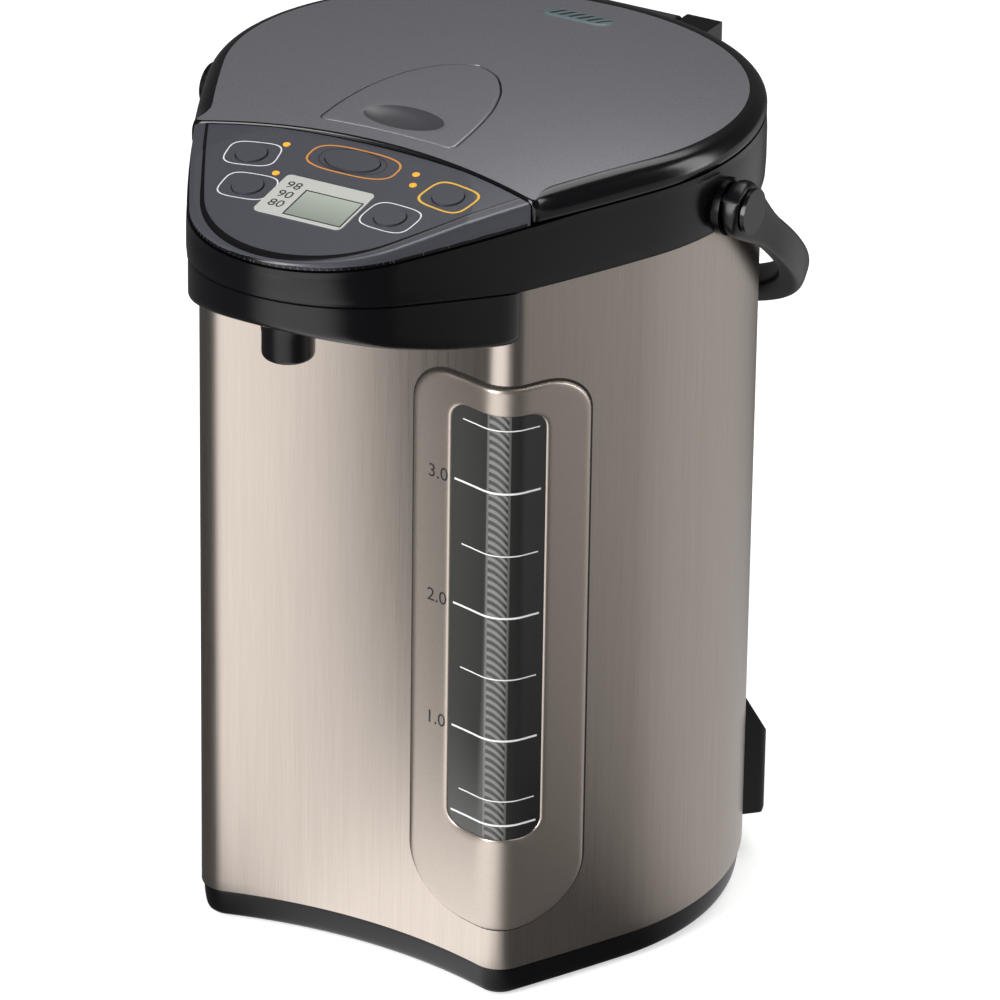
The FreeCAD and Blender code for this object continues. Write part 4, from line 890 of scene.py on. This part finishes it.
paneT = np.linspace(gauge["glassMid"] - gauge["glassHalf"] - 0.5,
                    gauge["glassMid"] + gauge["glassHalf"] + 0.5, 60)
paneZ = np.linspace(gauge["glassLow"] - 0.5, gauge["glassHigh"] + 0.5, 60)
gridT, gridZ = np.meshgrid(paneT, paneZ)
paneGrid = onSkin(gridT, gridZ, np.full(gridT.shape, gauge["proud"] - 0.7))
gaugePane = gridObject("gaugePane", paneGrid, closed=False, flip=False, uv=np.stack([gridT, gridZ], -1))
finish(gaugePane, paneMaterial(), "pot", "gauge_window", slotName="smoked_glass")

tickRows = []
for litres in (0.3, 0.5, 1.0, 1.5, 2.0, 2.5, 3.0, 3.5):
    z = gauge["floorZ"] + gauge["litre"] * litres
    bold = litres in (0.3, 1.0, 2.0, 3.0)
    thick = 0.75 if bold else 0.45
    t0, t1 = (5.6, 34.2) if bold else (8.6, 33.6)
    t = np.linspace(t0, t1, 40)
    for dz in (-thick / 2, thick / 2):
        tickRows.append(onSkin(t, np.full(40, z + dz), np.full(40, gauge["proud"] - 0.62)))
ticks = np.array(tickRows)
tickFaces = np.concatenate([gridFaces(2, 40, False, 80 * i) for i in range(len(ticks) // 2)])
gaugeTicks = makeMesh("gaugeTicks", ticks.reshape(-1, 3), tickFaces)
finish(gaugeTicks, inkWhite, "pot", slotName="smoked_glass")


# A printed number laid on the curved frame of the gauge.
def skinNumber(name, words, t, z, height):
    flat, faces = textMesh(words, height)
    p = onSkin(flat[:, 0] * 0.92 + t, flat[:, 1] + z, np.full(len(flat), gauge["proud"] + 0.05))
    return finish(makeMesh(name, p, faces), inkBlack, "pot", slotName="champagne_satin")


for litres in (1, 2, 3):
    skinNumber(f"litreMark{litres}", f"{litres}.0", -0.2, gauge["floorZ"] + gauge["litre"] * litres, 5.0)
print("gauge ready")

# Handle

handle = {"pivotY": -5.0, "pivotZ": 278.0, "drop": 38.0, "x": 102.4, "straight": 28.0, "reach": 112.0,
          "armHalf": 3.2, "barHalf": 6.0, "deep": 6.0, "eye": 10.0}


# A superellipse section carried from one pivot, along a straight arm, round a half ellipse and back.
def handleGrid():
    arm = np.linspace(-9.9, handle["straight"], 16)
    bend = np.linspace(0, math.pi, 90)[1:-1]
    x = np.concatenate([np.full(16, handle["x"]), handle["x"] * np.cos(bend), np.full(16, -handle["x"])])
    u = np.concatenate([arm, handle["straight"] + handle["reach"] * np.sin(bend), arm[::-1]])
    path = np.column_stack([x, u])
    d = np.gradient(path, axis=0)
    d /= np.hypot(d[:, 0], d[:, 1])[:, None]
    side = np.column_stack([d[:, 1], -d[:, 0]])
    k = np.clip((u - 4) / (handle["straight"] + handle["reach"] * 0.85), 0, 1)
    k = k * k * (3 - 2 * k)
    half = handle["armHalf"] + (handle["barHalf"] - handle["armHalf"]) * k
    taper = np.clip((u + 2) / 30.0, 0, 1)
    taper = taper * taper * (3 - 2 * taper)
    deep = handle["eye"] + (handle["deep"] - handle["eye"]) * taper
    deep = np.where(u < 0, np.sqrt(np.maximum(handle["eye"] ** 2 - u ** 2, 0.4)), deep)
    ang = np.linspace(0, 2 * math.pi, 40, endpoint=False)
    c, s = np.cos(ang), np.sin(ang)
    power = 2 / 3.4
    c, s = np.sign(c) * np.abs(c) ** power, np.sign(s) * np.abs(s) ** power
    flat = path[:, None, :] + side[:, None, :] * (half[:, None] * c[None, :])[..., None]
    depth = deep[:, None] * s[None, :]
    b = math.radians(-handle["drop"])
    y = handle["pivotY"] + flat[..., 1] * math.cos(b) - depth * math.sin(b)
    z = handle["pivotZ"] + flat[..., 1] * math.sin(b) + depth * math.cos(b)
    return np.stack([flat[..., 0], y, z], -1)


bailGrid = handleGrid()
rowCount, colCount, _ = bailGrid.shape
bailFaces = [tuple(f) for f in gridFaces(rowCount, colCount, True)]
bailFaces += [tuple(range(colCount))[::-1], tuple(range((rowCount - 1) * colCount, rowCount * colCount))]
carryHandle = makeMesh("carryHandle", bailGrid.reshape(-1, 3), bailFaces, smoothAngle=50)
finish(carryHandle, blackSatin, "handle", "handle", slotName="black_gloss")


# Turns a closed mesh's faces outwards after its doubles are merged.
def faceOutwards(obj):
    import bmesh
    work = bmesh.new()
    work.from_mesh(obj.data)
    bmesh.ops.remove_doubles(work, verts=work.verts, dist=0.002 * mm)
    bmesh.ops.recalc_face_normals(work, faces=work.faces)
    work.to_mesh(obj.data)
    work.free()


faceOutwards(carryHandle)
print("handle ready")

# Finishes of the pieces that stay as the frame has them

stay = {
    "control_panel": panelGrey, "collar": blackGloss, "pivot_caps": blackGloss,
    "hinge_housing": blackGloss, "socket_housing": blackSatin,
    "handle_pivots": steelPin, "hinge_pin": steelPin, "lever_pin": steelPin, "socket_pins": steelPin,
    "socket_magnet": steelPin, "latch_spring": steelPin, "base_screws": steelPin, "lid_screws": steelPin,
    "mouth_screws": steelPin, "motor_rotor": steelPin, "base_cover": blackMatte, "base_feet": rubber,
    "gauge_tube": whitePlastic, "gauge_backing": stripe, "outlet_pipe": silicone, "outlet_hose": silicone,
    "feed_pipe": silicone, "riser_pipe": silicone, "lid_gasket": silicone, "vessel_gasket": silicone,
    "vessel_liner": steelPlain, "vessel_jacket": steelPlain, "lid_plug": steelPlain, "mouth_ring": blackMatte,
    "lid_base": blackMatte, "steam_duct": whitePlastic,
    "latch_slide": whitePlastic, "thermostat": whitePlastic,
    "pump_housing": whitePlastic, "pump_impeller": whitePlastic,
    "pump_motor": steelPin, "heater_plate": aluminium,
    "power_board": boardGreen, "control_board": boardGreen, "lcd_module": blackMatte, "lcd_window": display,
    "indicator_lights": lampGlow, "dispense_button": panelGrey, "reboil_button": panelGrey,
    "temperature_button": panelGrey, "unlock_button": panelGrey, "timer_button": panelGrey,
}
for node, material in stay.items():
    nodes[node].data.materials.clear()
    nodes[node].data.materials.append(material)

# Floor, lights and camera

floorSize = 6000.0
axis = np.linspace(-floorSize / 2, floorSize / 2, 9)
fx, fy = np.meshgrid(axis, axis)
studioFloor = gridObject("studioFloor", np.stack([fx, fy, np.full(fx.shape, -0.05)], -1), closed=False)
floorMat, floorTree, floorShader = newMaterial("paleStudioPaper", "#F0F0EE", 0.0, 0.75)
output = floorTree.nodes["Material Output"]
path = addNode(floorTree, "ShaderNodeLightPath")
glow = addNode(floorTree, "ShaderNodeEmission", Color=(1, 1, 1, 1), Strength=0.55)
mixFloor = addNode(floorTree, "ShaderNodeAddShader")
floorTree.links.new(floorShader.outputs[0], mixFloor.inputs[0])
floorTree.links.new(glow.outputs[0], mixFloor.inputs[1])
pickFloor = addNode(floorTree, "ShaderNodeMixShader")
floorTree.links.new(path.outputs["Is Camera Ray"], pickFloor.inputs[0])
floorTree.links.new(floorShader.outputs[0], pickFloor.inputs[1])
floorTree.links.new(mixFloor.outputs[0], pickFloor.inputs[2])
spot = addNode(floorTree, "ShaderNodeTexCoord").outputs["Object"]
away = addNode(floorTree, "ShaderNodeVectorMath", {"operation": "NORMALIZE"}, i0=spot)
lobes = []
for direction, start in (((0.05, -1.0, 0), 0.8), ((0.8, 0.6, 0), 0.45)):
    facing = addNode(floorTree, "ShaderNodeVectorMath", {"operation": "DOT_PRODUCT"},
                     i0=away.outputs[0], i1=direction)
    lobes.append(addNode(floorTree, "ShaderNodeMapRange", {"interpolation_type": "SMOOTHSTEP"},
                         i0=facing.outputs["Value"], i1=start, i2=0.99, i3=0.1, i4=1.9).outputs[0])
card = calc(floorTree, "MAXIMUM", lobes[0], calc(floorTree, "MULTIPLY", lobes[1], 0.36))
mirrored = addNode(floorTree, "ShaderNodeEmission", Strength=card)
pickGlossy = addNode(floorTree, "ShaderNodeMixShader")
floorTree.links.new(path.outputs["Is Glossy Ray"], pickGlossy.inputs[0])
floorTree.links.new(pickFloor.outputs[0], pickGlossy.inputs[1])
floorTree.links.new(mirrored.outputs[0], pickGlossy.inputs[2])
floorTree.links.new(pickGlossy.outputs[0], output.inputs[0])
studioFloor.data.materials.append(floorMat)

world = bpy.data.worlds.new("studioSky")
bpy.context.scene.world = world
world.use_nodes = True
sky = world.node_tree.nodes["Background"]
sky.inputs["Color"].default_value = (1, 1, 1, 1)
sky.inputs["Strength"].default_value = 0.1
skyPath = addNode(world.node_tree, "ShaderNodeLightPath")
white = addNode(world.node_tree, "ShaderNodeBackground", Color=(1, 1, 1, 1), Strength=1.0)
pickSky = addNode(world.node_tree, "ShaderNodeMixShader")
world.node_tree.links.new(skyPath.outputs["Is Camera Ray"], pickSky.inputs[0])
world.node_tree.links.new(sky.outputs[0], pickSky.inputs[1])
world.node_tree.links.new(white.outputs[0], pickSky.inputs[2])
world.node_tree.links.new(pickSky.outputs[0], world.node_tree.nodes["World Output"].inputs[0])


# A rectangular area light at place, turned towards aim; sizes in metres.
def softbox(name, place, aim, width, height, watts, tint="#FFFFFF"):
    light = bpy.data.lights.new(name, "AREA")
    light.shape = "RECTANGLE"
    light.size, light.size_y = width, height
    light.energy = watts
    light.color = toLinear(tint)[:3]
    obj = bpy.data.objects.new(name, light)
    obj.location = place
    obj.rotation_euler = (Vector(aim) - Vector(place)).to_track_quat("-Z", "Y").to_euler()
    bpy.context.scene.collection.objects.link(obj)
    return obj


softbox("keyFront", (-0.35, -1.4, 0.75), (0, 0, 0.12), 0.55, 1.2, 27.0)
softbox("overhead", (0.1, 0.55, 1.4), (0, 0, 0.25), 1.0, 0.9, 11.0)
softbox("fillRight", (1.25, 0.75, 0.5), (0, 0, 0.15), 0.4, 1.2, 9.0)

photoCamera = {"azimuth": 29.3, "elevation": 25.7, "roll": 0.76, "focalPx": 7586.0, "distance": 2.6645,
               "aimZ": 0.150, "centre": (480.6, 477.3), "framePx": 1000.0}


# Looks back along the given direction; the shift puts the principal point where the photo has it.
def placeCamera(c):
    a, e, r = (math.radians(c[k]) for k in ("azimuth", "elevation", "roll"))
    back = Vector((math.sin(a) * math.cos(e), -math.cos(a) * math.cos(e), math.sin(e)))
    right = Vector((math.cos(a), math.sin(a), 0))
    up = back.cross(right)
    right, up = math.cos(r) * right + math.sin(r) * up, -math.sin(r) * right + math.cos(r) * up
    camData = bpy.data.cameras.new("photoCamera")
    camData.sensor_width = 36.0
    camData.lens = c["focalPx"] * 36.0 / c["framePx"]
    camData.shift_x = (c["framePx"] / 2 - c["centre"][0]) / c["framePx"]
    camData.shift_y = -(c["framePx"] / 2 - c["centre"][1]) / c["framePx"]
    camData.clip_end = 50
    cam = bpy.data.objects.new("photoCamera", camData)
    cam.matrix_world = Matrix((right, up, back)).transposed().to_4x4()
    cam.location = Vector((0, 0, c["aimZ"])) + back * c["distance"]
    bpy.context.scene.collection.objects.link(cam)
    bpy.context.scene.camera = cam


placeCamera(photoCamera)
bpy.context.scene.view_settings.view_transform = "Standard"
print("stage ready")
